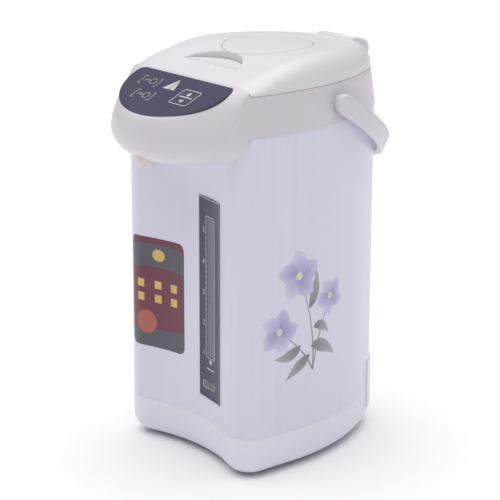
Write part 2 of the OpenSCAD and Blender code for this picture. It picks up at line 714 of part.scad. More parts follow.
// Slice of the dished front: grown sideways, standing out in front and sunk behind the wrapper's face
module dish_slice(x0, x1, z0, z1, out, deep) {
  intersection() {
    translate([0, dish_cy, z0]) difference() {
      cylinder(r = dish_r + deep, h = z1 - z0, $fn = 180);
      translate([0, 0, -1]) cylinder(r = dish_r - out, h = z1 - z0 + 2, $fn = 180);
    }
    translate([x0, dish_cy, z0]) cube([x1 - x0, 2 * dish_r, z1 - z0]);
  }
}
module strip_block(grow, out, deep) {
  dish_slice(strip_x - strip_w / 2 - grow, strip_x + strip_w / 2 + grow, strip_low_h - grow, strip_top_h + grow, out, deep);
}
module window_block(grow, out, deep) {
  dish_slice(window_x - window_w / 2 - grow, window_x + window_w / 2 + grow, window_low_h - grow, window_top_h + grow,
    out, deep);
}
module level_strip() {
  color([0.32, 0.3, 0.38]) difference() {
    strip_block(0, strip_proud, strip_depth);
    window_block(0, strip_proud + 1, strip_depth + 1);
  }
}
module level_window() {
  color([0.46, 0.44, 0.52, 0.6]) window_block(0, strip_proud - 0.2, strip_depth);
}
module water_tube(z0, z1) {
  translate([tube_c[0], tube_c[1], z0]) difference() {
    cylinder(r = tube_r, h = z1 - z0);
    translate([0, 0, -1]) cylinder(r = tube_bore_r, h = z1 - z0 + 2);
  }
}
module level_tube() {
  color([0.8, 0.85, 0.88, 0.5]) water_tube(tube_low_h, tube_top_h);
}

// Vessel: deep-drawn cup hung by its flange under the collar's seat
vessel_top_h = mouth_low_h - seal_t;
module vessel() {
  fr = vessel_round;
  wall = vessel_r + vessel_t;
  color([0.75, 0.76, 0.78]) translate([plate_c[0], plate_c[1], 0]) difference() {
    rotate_extrude($fn = 128) polygon(concat(
      [[0, vessel_floor_h]], arc([vessel_r - fr, vessel_floor_h + fr], fr, -90, 0, 6, 1),
      [[vessel_r, vessel_top_h], [seat_r - 0.5, vessel_top_h], [seat_r - 0.5, vessel_top_h - vessel_t],
        [wall, vessel_top_h - vessel_t]],
      arc([vessel_r - fr, vessel_floor_h + fr], fr + vessel_t, 0, -90, 6, 1), [[0, vessel_floor_h - vessel_t]]));
    translate([pump_c[0], pump_c[1] - plate_c[1], vessel_floor_h - 2]) cylinder(r = drain_r, h = 4);
  }
}
module ring(c, r0, r1, z0, z1) {
  translate([c[0], c[1], z0]) difference() {
    cylinder(r = r1, h = z1 - z0, $fn = 128);
    translate([0, 0, -1]) cylinder(r = r0, h = z1 - z0 + 2, $fn = 128);
  }
}
module vessel_seal() {
  color([0.85, 0.85, 0.84]) ring(plate_c, vessel_r, seat_r - 0.5, vessel_top_h, mouth_low_h);
}
heater_top_h = vessel_floor_h - vessel_t;
module heater_plate() {
  color([0.62, 0.62, 0.64]) difference() {
    ring(plate_c, 12, heater_r, heater_top_h - heater_t, heater_top_h);
    translate([pump_c[0], pump_c[1], heater_top_h - heater_t - 1]) cylinder(r = drain_r + 4, h = heater_t + 2);
  }
}
module band_heater() {
  z0 = vessel_floor_h + band_h / 2 + 1;
  color([0.6, 0.52, 0.38]) ring(plate_c, vessel_r + vessel_t + fit_gap, vessel_r + vessel_t + band_t, z0, z0 + band_h);
}
module thermostats() {
  color([0.3, 0.3, 0.32]) for (x = [-thermostat_x, thermostat_x])
    translate([x, plate_c[1], heater_top_h - heater_t - thermostat_h]) cylinder(r = thermostat_r, h = thermostat_h);
}

// Pump: motor on its mount, a housing with a side outlet, and the impeller inside
pump_top_h = pump_low_h + pump_body_h;
pump_wall = 2.5;
hose_x = 8;
hose_y = tube_c[1] + 2.5;
module pump_housing() {
  color([0.82, 0.82, 0.8]) difference() {
    union() {
      translate([pump_c[0], pump_c[1], pump_low_h]) cylinder(r = pump_r, h = pump_body_h);
      translate([pump_c[0], hose_y, outlet_h]) rotate([0, 90, 0]) cylinder(r = tube_bore_r, h = hose_x - pump_c[0]);
      translate([pump_c[0], pump_c[1], pump_top_h - eps]) cylinder(r = drain_r, h = 3);
    }
    translate([pump_c[0], pump_c[1], pump_low_h + pump_wall]) cylinder(r = pump_r - pump_wall, h = pump_body_h - 2 * pump_wall);
    translate([pump_c[0], hose_y, outlet_h]) rotate([0, 90, 0]) cylinder(r = tube_bore_r - 1.4, h = 2 * hose_x - pump_c[0]);
    translate([pump_c[0], pump_c[1], pump_top_h - pump_wall - 1]) cylinder(r = drain_r - 1.4, h = 8);
    translate([pump_c[0], pump_c[1], pump_low_h - 1]) cylinder(r = shaft_r + run_gap, h = pump_wall + 2);
  }
}
module pump_motor() {
  z0 = plate_top_h + mount_h;
  color([0.45, 0.46, 0.48]) translate([pump_c[0], pump_c[1], z0]) difference() {
    cylinder(r = motor_r, h = pump_low_h - z0);
    translate([0, 0, pump_low_h - z0 - shaft_len - 0.5]) cylinder(r = shaft_r + run_gap, h = shaft_len + 1.5);
  }
}
module pump_impeller() {
  floor_h = pump_low_h + pump_wall + 0.6;
  color([0.2, 0.2, 0.22]) translate([pump_c[0], pump_c[1], 0]) {
    translate([0, 0, pump_low_h - shaft_len]) cylinder(r = shaft_r, h = floor_h - pump_low_h + shaft_len + eps);
    translate([0, 0, floor_h]) cylinder(r = impeller_r, h = vane_t);
    for (k = [0 : 5]) rotate([0, 0, 60 * k]) translate([vane_in, -vane_t / 2, floor_h + vane_t - eps])
      cube([impeller_r - vane_in - 1, vane_t, vane_h]);
  }
}
module suction_hose() {
  z0 = pump_top_h;
  color([0.86, 0.86, 0.84]) translate([pump_c[0], pump_c[1], z0]) difference() {
    cylinder(r = drain_r + 2.5, h = heater_top_h - z0);
    translate([0, 0, -1]) cylinder(r = drain_r + fit_gap, h = heater_top_h - z0 + 2);
  }
}
module bent_hose(r, end) {
  translate([hose_x - end, hose_y, outlet_h]) rotate([0, 90, 0]) cylinder(r = r, h = tube_c[0] - hose_x + end);
  translate([tube_c[0], tube_c[1], outlet_h - r - 1]) cylinder(r = r, h = tube_low_h - outlet_h + r + 1 + end);
}
module delivery_hose() {
  color([0.86, 0.86, 0.84]) difference() {
    bent_hose(tube_r, 0);
    bent_hose(tube_bore_r - 0.6, 1);
  }
}

// Outlet pipe: from the level tube's top over the wrapper's edge and down into the spout
module pipe_run(r, end) {
  run = [spout_c[0] - tube_c[0], spout_c[1] - tube_c[1]];
  translate([tube_c[0], tube_c[1], tube_top_h - end]) cylinder(r = r, h = pipe_h - tube_top_h + r + end);
  translate([tube_c[0], tube_c[1], pipe_h]) rotate([0, 90, atan2(run[1], run[0])]) cylinder(r = r - 0.3, h = norm(run));
  translate([spout_c[0], spout_c[1], nozzle_top_h - end]) cylinder(r = r, h = pipe_h - nozzle_top_h + r + end);
}
nozzle_top_h = belly_h - chin_r + 16;
module outlet_pipe() {
  color([0.86, 0.86, 0.84]) difference() {
    pipe_run(tube_r, 0);
    pipe_run(tube_bore_r, 1);
  }
}
module spout_nozzle() {
  low = belly_h - chin_r - spout_proud;
  color([0.82, 0.76, 0.72]) translate([spout_c[0], spout_c[1], 0]) rotate_extrude() polygon([
    [tube_bore_r, nozzle_top_h], [tube_r + 1.5, nozzle_top_h], [spout_r, nozzle_top_h - 6], [spout_r, low + 1.5],
    [spout_r - 1.5, low], [tube_bore_r + 2, low], [tube_bore_r, low + 4]]);
}

// Power inlet: a box through the back wall with a flange round it, open behind, with three pins
module inlet_block(grow) {
  low = inlet_low_h - flange_drop - grow;
  h = flange_drop + inlet_h + flange_lift + 2 * grow;
  deep_y = inlet_face - inlet_body - grow;
  intersection() {
    union() {
      translate([-inlet_half_w - grow, deep_y, inlet_low_h - grow])
        cube([2 * (inlet_half_w + grow), 2 * inlet_body, inlet_h + 2 * grow]);
      difference() {
        translate([-flange_half_w - grow, back_cy, low]) cube([2 * (flange_half_w + grow), 2 * back_r, h]);
        translate([0, 0, low - 1]) linear_extrude(h + 2) polygon(body_outline(flange_deep + grow));
      }
    }
    translate([0, 0, low - 1]) linear_extrude(h + 2) polygon(body_outline(-inlet_proud - grow));
  }
}
inlet_mid_h = (inlet_low_h + inlet_top_h) / 2;
cavity = [2 * (inlet_half_w - inlet_wall), inlet_h - inlet_wall];
pin_spots = [[-pin_pitch, -pin_drop], [pin_pitch, -pin_drop], [0, pin_lift]];
module inlet_socket() {
  color([0.85, 0.78, 0.75]) difference() {
    inlet_block(0);
    translate([-cavity[0] / 2, inlet_face - inlet_deep, inlet_mid_h - cavity[1] / 2])
      cube([cavity[0], inlet_deep + 1, cavity[1]]);
    for (p = pin_spots) pin_bar(p, socket_pin_r);
  }
}
socket_pin_r = 2;
module pin_bar(p, r) {
  translate([p[0], inlet_face - inlet_deep - pin_hold, inlet_mid_h + p[1]])
    rotate([-90, 0, 0]) cylinder(r = r, h = pin_hold + pin_stand);
}
module socket_pins() {
  color([0.78, 0.68, 0.4]) for (p = pin_spots) pin_bar(p, socket_pin_r);
}
module power_board() {
  z0 = plate_top_h + standoff_h;
  color([0.16, 0.36, 0.22]) {
    translate([-power_w / 2, power_back, z0]) cube([power_w, power_l, board_t]);
    board_part([-0.4, 1 / 7], [13 / 30, 11 / 28], transformer_h);
    board_part([2 / 15, 5 / 28], [7 / 30, 9 / 28], transformer_h * 7 / 9);
    board_part([-1 / 3, 5 / 7], [0.6, 1 / 7], transformer_h * 5 / 9);
  }
}
// A block on the power board, its place and size given as shares of the board's width and length
module board_part(at_share, size_share, h) {
  translate([at_share[0] * power_w, power_back + at_share[1] * power_l, plate_top_h + standoff_h + board_t - eps])
    cube([size_share[0] * power_w, size_share[1] * power_l, h]);
}

// Lid by column: right front corner, right side, back, left side, left front corner and the front edge
corner_n = 4;
front_n = 14;
lid_n = 2 * corner_n + 2 * side_n + back_n + 1 + front_n + 1;
function lid_phi(e, g) = asin((lid_front - g - nose_fwd) / (nose_r - e));
function lid_raw(i, e, g) =
  let (s = i - corner_n - 1, b = s - side_n, l = b - back_n, c = l - side_n - 1, f = c - corner_n,
    phi = lid_phi(e, g), fx = (nose_r - e) * cos(phi))
  s < 0 ? polar([0, nose_cy], nose_r - e, 360 - phi * (1 - i / corner_n))
  : b < 0 ? polar([side_cx, 0], side_r + collar_proud - e, join_a * s / side_n)
  : l < 0 ? polar([0, back_cy], back_r + collar_proud - e, join_a + (180 - 2 * join_a) * b / back_n)
  : c < 0 ? polar([-side_cx, 0], side_r + collar_proud - e, 180 - join_a + join_a * l / side_n)
  : f < 0 ? polar([0, nose_cy], nose_r - e, 180 + phi * c / corner_n)
  : [fx * (2 * f / front_n - 1), g - lid_front];
function lid_pt(i, e, g = 0) = let (p = lid_raw(i, e + collar_lean, g)) [p[0], min(p[1], lid_back - g)];
function round_h(e, y, drop) = lid_seam_h + (dome_h(y) - drop - lid_seam_h) * sqrt(1 - pow(1 - e / lid_edge, 2));
function toward_hole(i, r) = let (p = lid_pt(i, lid_edge) - plate_c) plate_c + p * r / norm(p);
function over(p, drop) = [p[0], p[1], dome_h(p[1]) - drop];
lid_steps = [0, 0.4, 1.6, 4, 8, 13, lid_edge];
function lid_column(i) =
  let (top = lid_pt(i, lid_edge), under = lid_pt(i, lid_edge + lid_t, lid_t), hole = toward_hole(i, hole_r),
    tube = toward_hole(i, hole_r + guide_t))
  concat([for (e = lid_steps) let (p = lid_pt(i, e)) at(p, round_h(e, p[1], 0))],
    [for (t = [0.35, 0.7, 1]) over(mix(top, hole, t), 0)],
    [at(hole, guide_h), at(tube, guide_h)],
    [for (t = [1, 0.5, 0]) over(mix(under, tube, t), lid_t)],
    [for (k = [5, 3, 1, 0]) let (p = lid_pt(i, lid_steps[k] + lid_t, lid_t)) at(p, round_h(lid_steps[k], p[1], lid_t))]);

module lid_shell() {
  columns = [for (i = [0 : lid_n - 1]) lid_column(i)];
  rings = [for (j = [0 : len(columns[0]) - 1]) [for (c = columns) c[j]]];
  clear_w = knuckle_half_w + 0.4;
  color([0.93, 0.92, 0.93]) difference() {
    union() {
      difference() {
        loft(rings, true);
        scoop_cut();
        translate([-clear_w, pin_back - knuckle_r - 0.5, lid_seam_h - 1]) cube([2 * clear_w, 40, 60]);
      }
      recess_pan();
      hump(clear_w);
      for (p = lid_screw_spots) translate([p[0], p[1], cover_low_h + vessel_t])
        cylinder(r = boss_r - 0.5, h = dome_h(p[1]) - lid_t / 2 - cover_low_h - vessel_t);
    }
    for (p = lid_screw_spots) translate([p[0], p[1], cover_low_h]) cylinder(r = screw_r, h = screw_len - 1);
    along_x([flap_line_y, flap_line_h], peg_r + run_gap, -scoop_r, scoop_r);
    along_x([pin_back, pin_h], pin_r + run_gap, -hump_half_w - 1, hump_half_w + 1);
  }
}
flap_line_y = dome_front(scoop_h) + 1.4;
flap_line_h = flap_low_h + peg_r;
module scoop_cut() {
  intersection() {
    translate([0, scoop_cy, flap_low_h - flap_gap]) cylinder(r = scoop_r, h = 30, $fn = 128);
    translate([-scoop_r, dome_front(scoop_h), 0]) cube([2 * scoop_r, 2 * scoop_r, 2 * crown_h]);
  }
}
// Pan under the finger recess: its rim rises into the lid's wall along a sloping cut
module recess_pan() {
  y0 = dome_front(scoop_h) - 2;
  y1 = -scoop_back + guide_t;
  h0 = dome_h(y0) - 1;
  h1 = dome_h(y1) - 1;
  difference() {
    intersection() {
      translate([0, scoop_cy, pan_low_h]) cylinder(r = scoop_r + guide_t, h = 30, $fn = 128);
      translate([-2 * scoop_r, 0, 0]) rotate([90, 0, 90]) linear_extrude(4 * scoop_r)
        polygon([[y0, pan_low_h], [y1, pan_low_h], [y1, h1], [y0, h0]]);
    }
    scoop_cut();
    ring(plate_c, 0, hole_r + eps, pan_low_h - 1, crown_h);
  }
}
// Hinge hump: a block and barrel, with cheeks either side of the knuckle and a cover over it
module hump_side() {
  circle(r = hump_r, $fn = 96);
  polygon([[-hump_r, -4], [-hump_r, hump_r - 4], [2 - hump_r, hump_r - 1], [5 - hump_r, hump_r], [0, hump_r], [0, 0]]);
}
module hump(clear_w) {
  cheek = hump_half_w - clear_w;
  for (x = [-hump_half_w, clear_w]) translate([x, pin_back, pin_h]) rotate([90, 0, 90]) linear_extrude(cheek) hump_side();
  translate([-clear_w, pin_back, pin_h]) rotate([90, 0, 90]) linear_extrude(2 * clear_w) difference() {
    hump_side();
    circle(r = knuckle_r + 0.8, $fn = 96);
    polygon([[0, 0], polar([0, 0], 60, 60), [60, 0], [60, -60], [-knuckle_r - 0.5, -60], [-knuckle_r - 0.5, 0]]);
  }
}
module hinge_pin() {
  color([0.7, 0.71, 0.73]) along_x([pin_back, pin_h], pin_r, 0.5 - hump_half_w, hump_half_w - 0.5);
}

module lid_latch() {
  y0 = dome_front(scoop_h) + fit_gap;
  color([0.9, 0.89, 0.9]) {
    difference() {
      intersection() {
        translate([0, scoop_cy, flap_low_h]) cylinder(r = scoop_r - plate_gap, h = flap_t, $fn = 128);
        translate([-scoop_r, y0 + 0.4, 0]) cube([2 * scoop_r, scoop_r, 2 * crown_h]);
      }
      translate([-scoop_r, -200 + flap_line_y, flap_line_h + peg_r]) cube([2 * scoop_r, 200, 10]);
    }
    flap_half = sqrt(pow(scoop_r, 2) - pow(flap_line_y - scoop_cy, 2));
    for (s = [-1, 1]) along_x([flap_line_y, flap_line_h], peg_r, s > 0 ? flap_half - 4 : -flap_half - 1.2,
      s > 0 ? flap_half + 1.2 : 4 - flap_half);
  }
}

// Stainless inner cover: a dish that fills the mouth, with a flange over the gasket
module lid_inner_cover() {
  t = vessel_t;
  color([0.75, 0.76, 0.78]) difference() {
    translate([plate_c[0], plate_c[1], 0]) rotate_extrude($fn = 128) polygon([
      [0, cover_low_h], [cover_r - 6, cover_low_h], [cover_r, cover_low_h + 4], [cover_r, flange_h], [flange_r, flange_h],
      [flange_r, flange_h + t], [cover_r - t, flange_h + t], [cover_r - t, cover_low_h + 4 + t / 2],
      [cover_r - 6, cover_low_h + t], [0, cover_low_h + t]]);
    for (p = lid_screw_spots) translate([p[0], p[1], cover_low_h - 1]) cylinder(r = screw_r + fit_gap, h = 3);
  }
}
module lid_gasket() {
  color([0.8, 0.8, 0.79]) ring(plate_c, mouth_r + 1.5, flange_r - 1.5, rim_h + gasket_gap, flange_h);
}
module lid_screws() {
  color([0.6, 0.61, 0.62]) for (p = lid_screw_spots) translate([p[0], p[1], cover_low_h]) {
    translate([0, 0, -1.6]) cylinder(r = screw_head_r, h = 1.6);
    translate([0, 0, -eps]) cylinder(r = screw_r, h = screw_len - 1);
  }
}

// Pump bellows and return spring between the inner cover and the press plate
bellows_low_h = cover_low_h + vessel_t;
plate_wall = 3;
bellows_top_h = dome_h(plate_back - bellows_r) - plate_wall - 0.3;
module bellows() {
  pitch = (bellows_top_h - bellows_low_h) / bellows_folds;
  wall = 1.2;
  depth = 4;
  out = [for (k = [0 : bellows_folds - 1]) each [[bellows_r - depth, bellows_low_h + k * pitch],
    [bellows_r, bellows_low_h + (k + 0.5) * pitch]]];
  back = [for (k = [len(out) - 1 : -1 : 0]) out[k] - [wall, 0]];
  top = [[bellows_r - depth, bellows_top_h], [bellows_r - depth - wall, bellows_top_h]];
  color([0.8, 0.8, 0.78]) translate([plate_c[0], plate_c[1], 0]) rotate_extrude() polygon(concat(out, top, back));
}
module plate_spring() {
  top = dome_h(plate_back - spring_r) - plate_wall - 0.3;
  color([0.6, 0.61, 0.62]) ring(plate_c, spring_r - spring_wire, spring_r, bellows_low_h, top);
}
module press_plate() {
  n = 48;
  function disc(r, drop) = [for (p = arc(plate_c, r, 0, 360, n)) over(p, drop)];
  skirt = plate_r - guide_t - 0.5;
  rings = [disc(plate_r * 0.24, plate_wall), disc(plate_r * 0.6, plate_wall), disc(skirt, plate_wall),
    lift(arc(plate_c, skirt, 0, 360, n), plate_low_h), lift(arc(plate_c, plate_r, 0, 360, n), plate_low_h),
    disc(plate_r, 0.7), disc(plate_r - 0.7, 0), disc(plate_r * 0.7, 0), disc(plate_r * 0.37, 0)];
  color([0.93, 0.92, 0.93]) loft(rings);
}

// Carry handle: a flat band bent round the back, hung on two pegs
grip_side_r = (pow(handle_half_w, 2) + pow(handle_reach - grip_r, 2) - pow(grip_r, 2)) / (2 * (handle_half_w - grip_r));
grip_cx = handle_half_w - grip_side_r;
grip_a = atan2(handle_reach - grip_r, -grip_cx);
function grip_half(d) = concat(arc([grip_cx, 0], grip_side_r - d, 0, grip_a, 16),
  arc([0, handle_reach - grip_r], grip_r - d, grip_a, 90, 12, 1));
function grip_line(d) = let (h = grip_half(d)) concat(h, [for (k = [len(h) - 2 : -1 : 0]) [-h[k][0], h[k][1]]]);
end_proud = 0.25;
disc_in = handle_in - end_proud;
disc_out = handle_half_w + end_proud;
module carry_handle() {
  inner = grip_line(handle_t);
  band = concat(grip_line(0), [for (k = [len(inner) - 1 : -1 : 0]) inner[k]]);
  color([0.91, 0.9, 0.91]) union() {
    translate([0, pivot_back, pivot_h]) rotate([-handle_hang, 0, 0]) translate([0, 0, -handle_w / 2])
      linear_extrude(handle_w) polygon(band);
    for (s = [-1, 1]) {
      along_x([pivot_back, pivot_h], handle_w / 2 + end_proud, s > 0 ? disc_in : -disc_out, s > 0 ? disc_out : -disc_in);
      along_x([pivot_back, pivot_h], pivot_r, s > 0 ? handle_in - peg_len : -handle_in - 1,
        s > 0 ? handle_in + 1 : peg_len - handle_in);
    }
  }
}

placed() outer_shell();
placed() base_moulding();
placed() bottom_plate();
placed() rubber_feet();
placed() bottom_screws();
placed() upper_housing();
placed() nose_underside();
placed() panel_frame();
placed() panel_overlay();
placed() indicator_lenses();
placed() control_board();
placed() level_strip();
placed() level_window();
placed() level_tube();
placed() vessel();
placed() vessel_seal();
placed() heater_plate();
placed() band_heater();
placed() thermostats();
placed() pump_housing();
placed() pump_motor();
placed() pump_impeller();
placed() suction_hose();
placed() delivery_hose();
placed() outlet_pipe();
placed() spout_nozzle();
placed() inlet_socket();
placed() socket_pins();
placed() power_board();
placed() hinge_pin();
placed() carry_handle();
placed() lid_shell();
placed() lid_inner_cover();
placed() lid_gasket();
placed() lid_screws();
placed() bellows();
placed() plate_spring();
placed() press_plate();
placed() lid_latch();
placed() dispense_key();
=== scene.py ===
import math

import bmesh
import bpy
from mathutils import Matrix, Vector


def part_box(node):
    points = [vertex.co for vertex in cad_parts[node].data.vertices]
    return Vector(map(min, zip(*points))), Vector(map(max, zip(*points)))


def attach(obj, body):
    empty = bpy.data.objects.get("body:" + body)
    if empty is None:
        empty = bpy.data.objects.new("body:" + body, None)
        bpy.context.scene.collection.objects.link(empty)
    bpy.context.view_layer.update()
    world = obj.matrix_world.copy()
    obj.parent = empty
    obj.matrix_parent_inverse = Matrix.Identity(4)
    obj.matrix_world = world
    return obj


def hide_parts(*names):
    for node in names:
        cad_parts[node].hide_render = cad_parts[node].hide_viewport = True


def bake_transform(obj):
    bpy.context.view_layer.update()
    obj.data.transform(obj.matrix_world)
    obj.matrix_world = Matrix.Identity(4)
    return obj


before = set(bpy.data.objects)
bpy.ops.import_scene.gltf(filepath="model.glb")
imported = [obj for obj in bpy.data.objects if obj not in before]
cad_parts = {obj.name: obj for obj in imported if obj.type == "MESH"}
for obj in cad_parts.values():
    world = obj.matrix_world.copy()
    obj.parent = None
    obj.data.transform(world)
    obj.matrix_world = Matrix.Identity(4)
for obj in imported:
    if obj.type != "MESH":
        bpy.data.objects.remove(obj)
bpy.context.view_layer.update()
print("frame loaded")

mm = 0.001

# main shape of the pot, in millimetres, as the solids have it
pot = {
    "halfW": 96.0, "back": 157.0, "backR": 66.5, "front": 62.4, "cornerR": 25.0, "dish": 12.5,
    "seam": 41.0, "collar": 329.0, "lidSeam": 366.5, "crown": 393.0, "crownY": 40.0,
    "frontFall": 400.0, "backFall": 2000.0, "proud": 1.0, "lean": 5.0, "noseY": -22.5, "footH": 2.0,
}
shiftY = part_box("outer_shell")[1].y / mm - pot["back"]



def sideArcR(half, reach, endR):
    # radius of a side that leaves square at half the width and runs into a round end
    return (half ** 2 + (reach - endR) ** 2 - endR ** 2) / (2 * (half - endR))


sideR = sideArcR(pot["halfW"], pot["back"], pot["backR"])
sideX = pot["halfW"] - sideR
backY = pot["back"] - pot["backR"]
joinA = math.atan2(backY, -sideX)
cornerX = pot["halfW"] - pot["cornerR"]
cornerY = pot["cornerR"] - pot["front"]
dishR = (cornerX ** 2 + (pot["cornerR"] - pot["dish"]) ** 2 - pot["cornerR"] ** 2) / (2 * pot["dish"])
dishY = pot["dish"] - pot["front"] - dishR
dishA = math.atan2(cornerY - dishY, cornerX)
noseR = pot["halfW"] + pot["proud"]


def mix(a, b, t):
    return a + (b - a) * t


def mix2(p, q, t):
    return (mix(p[0], q[0], t), mix(p[1], q[1], t))


def smooth(t):
    t = min(1.0, max(0.0, t))
    return t * t * (3 - 2 * t)


def polar(c, r, a):
    return (c[0] + r * math.cos(a), c[1] + r * math.sin(a))


def spread(a, b, n, last=True):
    return [mix(a, b, i / n) for i in range(n + (1 if last else 0))]


def domeZ(y):
    fall = pot["frontFall"] if y < pot["crownY"] else pot["backFall"]
    return pot["crown"] - (y - pot["crownY"]) ** 2 / fall


# colour and shader helpers


def lin(r, g, b):
    out = []
    for v in (r, g, b):
        v /= 255
        out.append(v / 12.92 if v <= 0.04045 else ((v + 0.055) / 1.055) ** 2.4)
    return (*out, 1.0)


class Wire:
    # a socket that takes part in sums
    def __init__(self, paint, socket):
        self.paint, self.socket = paint, socket

    def calc(self, kind, a, b):
        return self.paint.node("ShaderNodeMath", {"operation": kind}, {0: a, 1: b})

    def __add__(self, o):
        return self.calc("ADD", self, o)

    def __radd__(self, o):
        return self.calc("ADD", o, self)

    def __mul__(self, o):
        return self.calc("MULTIPLY", self, o)

    def __rmul__(self, o):
        return self.calc("MULTIPLY", o, self)


class Paint:
    def __init__(self, name, **fixed):
        self.mat = bpy.data.materials.new(name)
        self.mat.use_nodes = True
        self.tree = self.mat.node_tree
        self.bsdf = self.tree.nodes["Principled BSDF"]
        for key, value in fixed.items():
            self.bsdf.inputs[key.replace("_", " ")].default_value = value

    def node(self, kind, settings=None, sockets=None, out=0):
        n = self.tree.nodes.new(kind)
        for key, value in (settings or {}).items():
            if key == "stops":
                ramp = n.color_ramp
                while len(ramp.elements) < len(value):
                    ramp.elements.new(0.5)
                for e, (pos, col) in zip(ramp.elements, value):
                    e.position, e.color = pos, col
            else:
                setattr(n, key, value)
        for key, value in (sockets or {}).items():
            if isinstance(value, Wire):
                self.tree.links.new(value.socket, n.inputs[key])
            else:
                n.inputs[key].default_value = value
        return Wire(self, n.outputs[out])

    def feed(self, name, wire):
        self.tree.links.new(wire.socket, self.bsdf.inputs[name])

    def coords(self, scale=(1, 1, 1)):
        where = self.node("ShaderNodeTexCoord", out=3)
        return self.node("ShaderNodeMapping", {}, {0: where, 3: scale})

    def noise(self, where, scale, detail=3.0, rough=0.5):
        sockets = {"Vector": where, "Scale": scale, "Detail": detail, "Roughness": rough}
        return self.node("ShaderNodeTexNoise", {}, sockets)

    def blend(self, amount, a, b):
        return self.node("ShaderNodeMix", {"data_type": "RGBA"}, {0: amount, 6: a, 7: b}, out=2)

    def bump(self, height, strength, distance):
        return self.node("ShaderNodeBump", {}, {"Strength": strength, "Distance": distance, "Height": height})


def moulded(name, low, high, rough=(0.3, 0.4), grain=900.0, depth=0.00002, **fixed):
    # injection-moulded plastic: faint mottling, fine orange peel, a little handling sheen
    p = Paint(name, **fixed)
    where = p.coords()
    cloud = p.noise(where, 14.0, 4.0)
    p.feed("Base Color", p.blend(cloud, low, high))
    swing = rough[1] - rough[0]
    p.feed("Roughness", p.noise(where, 60.0) * swing * 1.6 + (rough[0] - 0.3 * swing))
    p.feed("Normal", p.bump(p.noise(where, grain, 2.0), 0.12, depth))
    return p.mat


def printedSteel():
    # white coated sheet with faint upright silk streaks under clear lacquer
    p = Paint("printedSteel", Coat_Weight=0.35, Coat_Roughness=0.12, IOR=1.45)
    streak = p.noise(p.coords((1, 1, 0.012)), 420.0, 3.0, 0.6)
    wide = p.noise(p.coords((1, 1, 0.05)), 60.0, 2.0)
    tone = streak * 0.65 + wide * 0.35
    p.feed("Base Color", p.blend(tone, lin(217, 216, 232), lin(227, 226, 242)))
    p.feed("Roughness", streak * 0.14 + 0.3)
    p.feed("Normal", p.bump(streak, 0.06, 0.00003))
    return p.mat


def film(name, low, high, rough=0.22):
    # printed polycarbonate film
    p = Paint(name, IOR=1.33)
    where = p.coords()
    p.feed("Base Color", p.blend(p.noise(where, 35.0, 3.0), low, high))
    p.feed("Roughness", p.noise(where, 240.0, 2.0) * 0.12 + (rough - 0.05))
    p.feed("Normal", p.bump(p.noise(where, 1500.0, 2.0), 0.08, 0.00001))
    return p.mat


def brushed(name, low, high, stretch, rough=0.26, metal=1.0):
    # metal with drawn or turned grain
    p = Paint(name, Metallic=metal)
    grain = p.noise(p.coords(stretch), 700.0, 4.0, 0.65)
    p.feed("Base Color", p.blend(grain, low, high))
    p.feed("Roughness", grain * 0.2 + (rough - 0.08))
    p.feed("Normal", p.bump(grain, 0.1, 0.00002))
    return p.mat


def rubbery(name, low, high, rough=0.6, **fixed):
    p = Paint(name, **fixed)
    where = p.coords()
    p.feed("Base Color", p.blend(p.noise(where, 90.0, 4.0), low, high))
    p.feed("Roughness", p.noise(where, 300.0) * 0.2 + (rough - 0.1))
    p.feed("Normal", p.bump(p.noise(where, 1200.0, 3.0), 0.2, 0.00004))
    return p.mat


def inked(name, low, high, fades=False):
    # screen-printed ink with a slight dot texture, shaded along the stroke where it fades
    p = Paint(name, Coat_Weight=0.2, Coat_Roughness=0.15)
    where = p.coords()
    dots = p.node("ShaderNodeTexVoronoi", {}, {"Vector": where, "Scale": 1400.0})
    cloud = p.noise(where, 45.0, 3.0)
    tone = cloud * 0.8 + dots * 0.2
    if fades:
        tone = p.node("ShaderNodeAttribute", {"attribute_name": "fade"}, out=2) * 0.85 + tone * 0.15
    p.feed("Base Color", p.blend(tone, low, high))
    p.feed("Roughness", dots * 0.15 + 0.3)
    return p.mat


def clearWindow():
    p = Paint("clearWindow", IOR=1.49, Coat_Weight=0.4, Coat_Roughness=0.05)
    where = p.coords((1, 1, 0.2))
    haze = p.noise(where, 120.0, 2.0)
    p.feed("Base Color", p.blend(haze, lin(58, 54, 88), lin(72, 68, 102)))
    p.feed("Roughness", haze * 0.1 + 0.12)
    p.feed("Normal", p.bump(haze, 0.05, 0.00002))
    return p.mat


def boardMask(name):
    p = Paint(name)
    where = p.coords()
    lines = p.node("ShaderNodeTexBrick", {}, {"Vector": where, "Scale": 160.0, "Mortar Size": 0.06,
        "Color1": lin(34, 92, 58), "Color2": lin(40, 104, 66), "Mortar": lin(96, 128, 72)})
    p.feed("Base Color", lines)
    p.feed("Roughness", p.noise(where, 200.0) * 0.2 + 0.3)
    return p.mat


# base moulding: the same white plastic as the lid, made lighter to offset the shade it gets near the floor
# (painted light)
shadeOffsetBaseIvory = moulded("shadeOffsetBaseIvory", lin(229, 226, 238), lin(236, 233, 245))
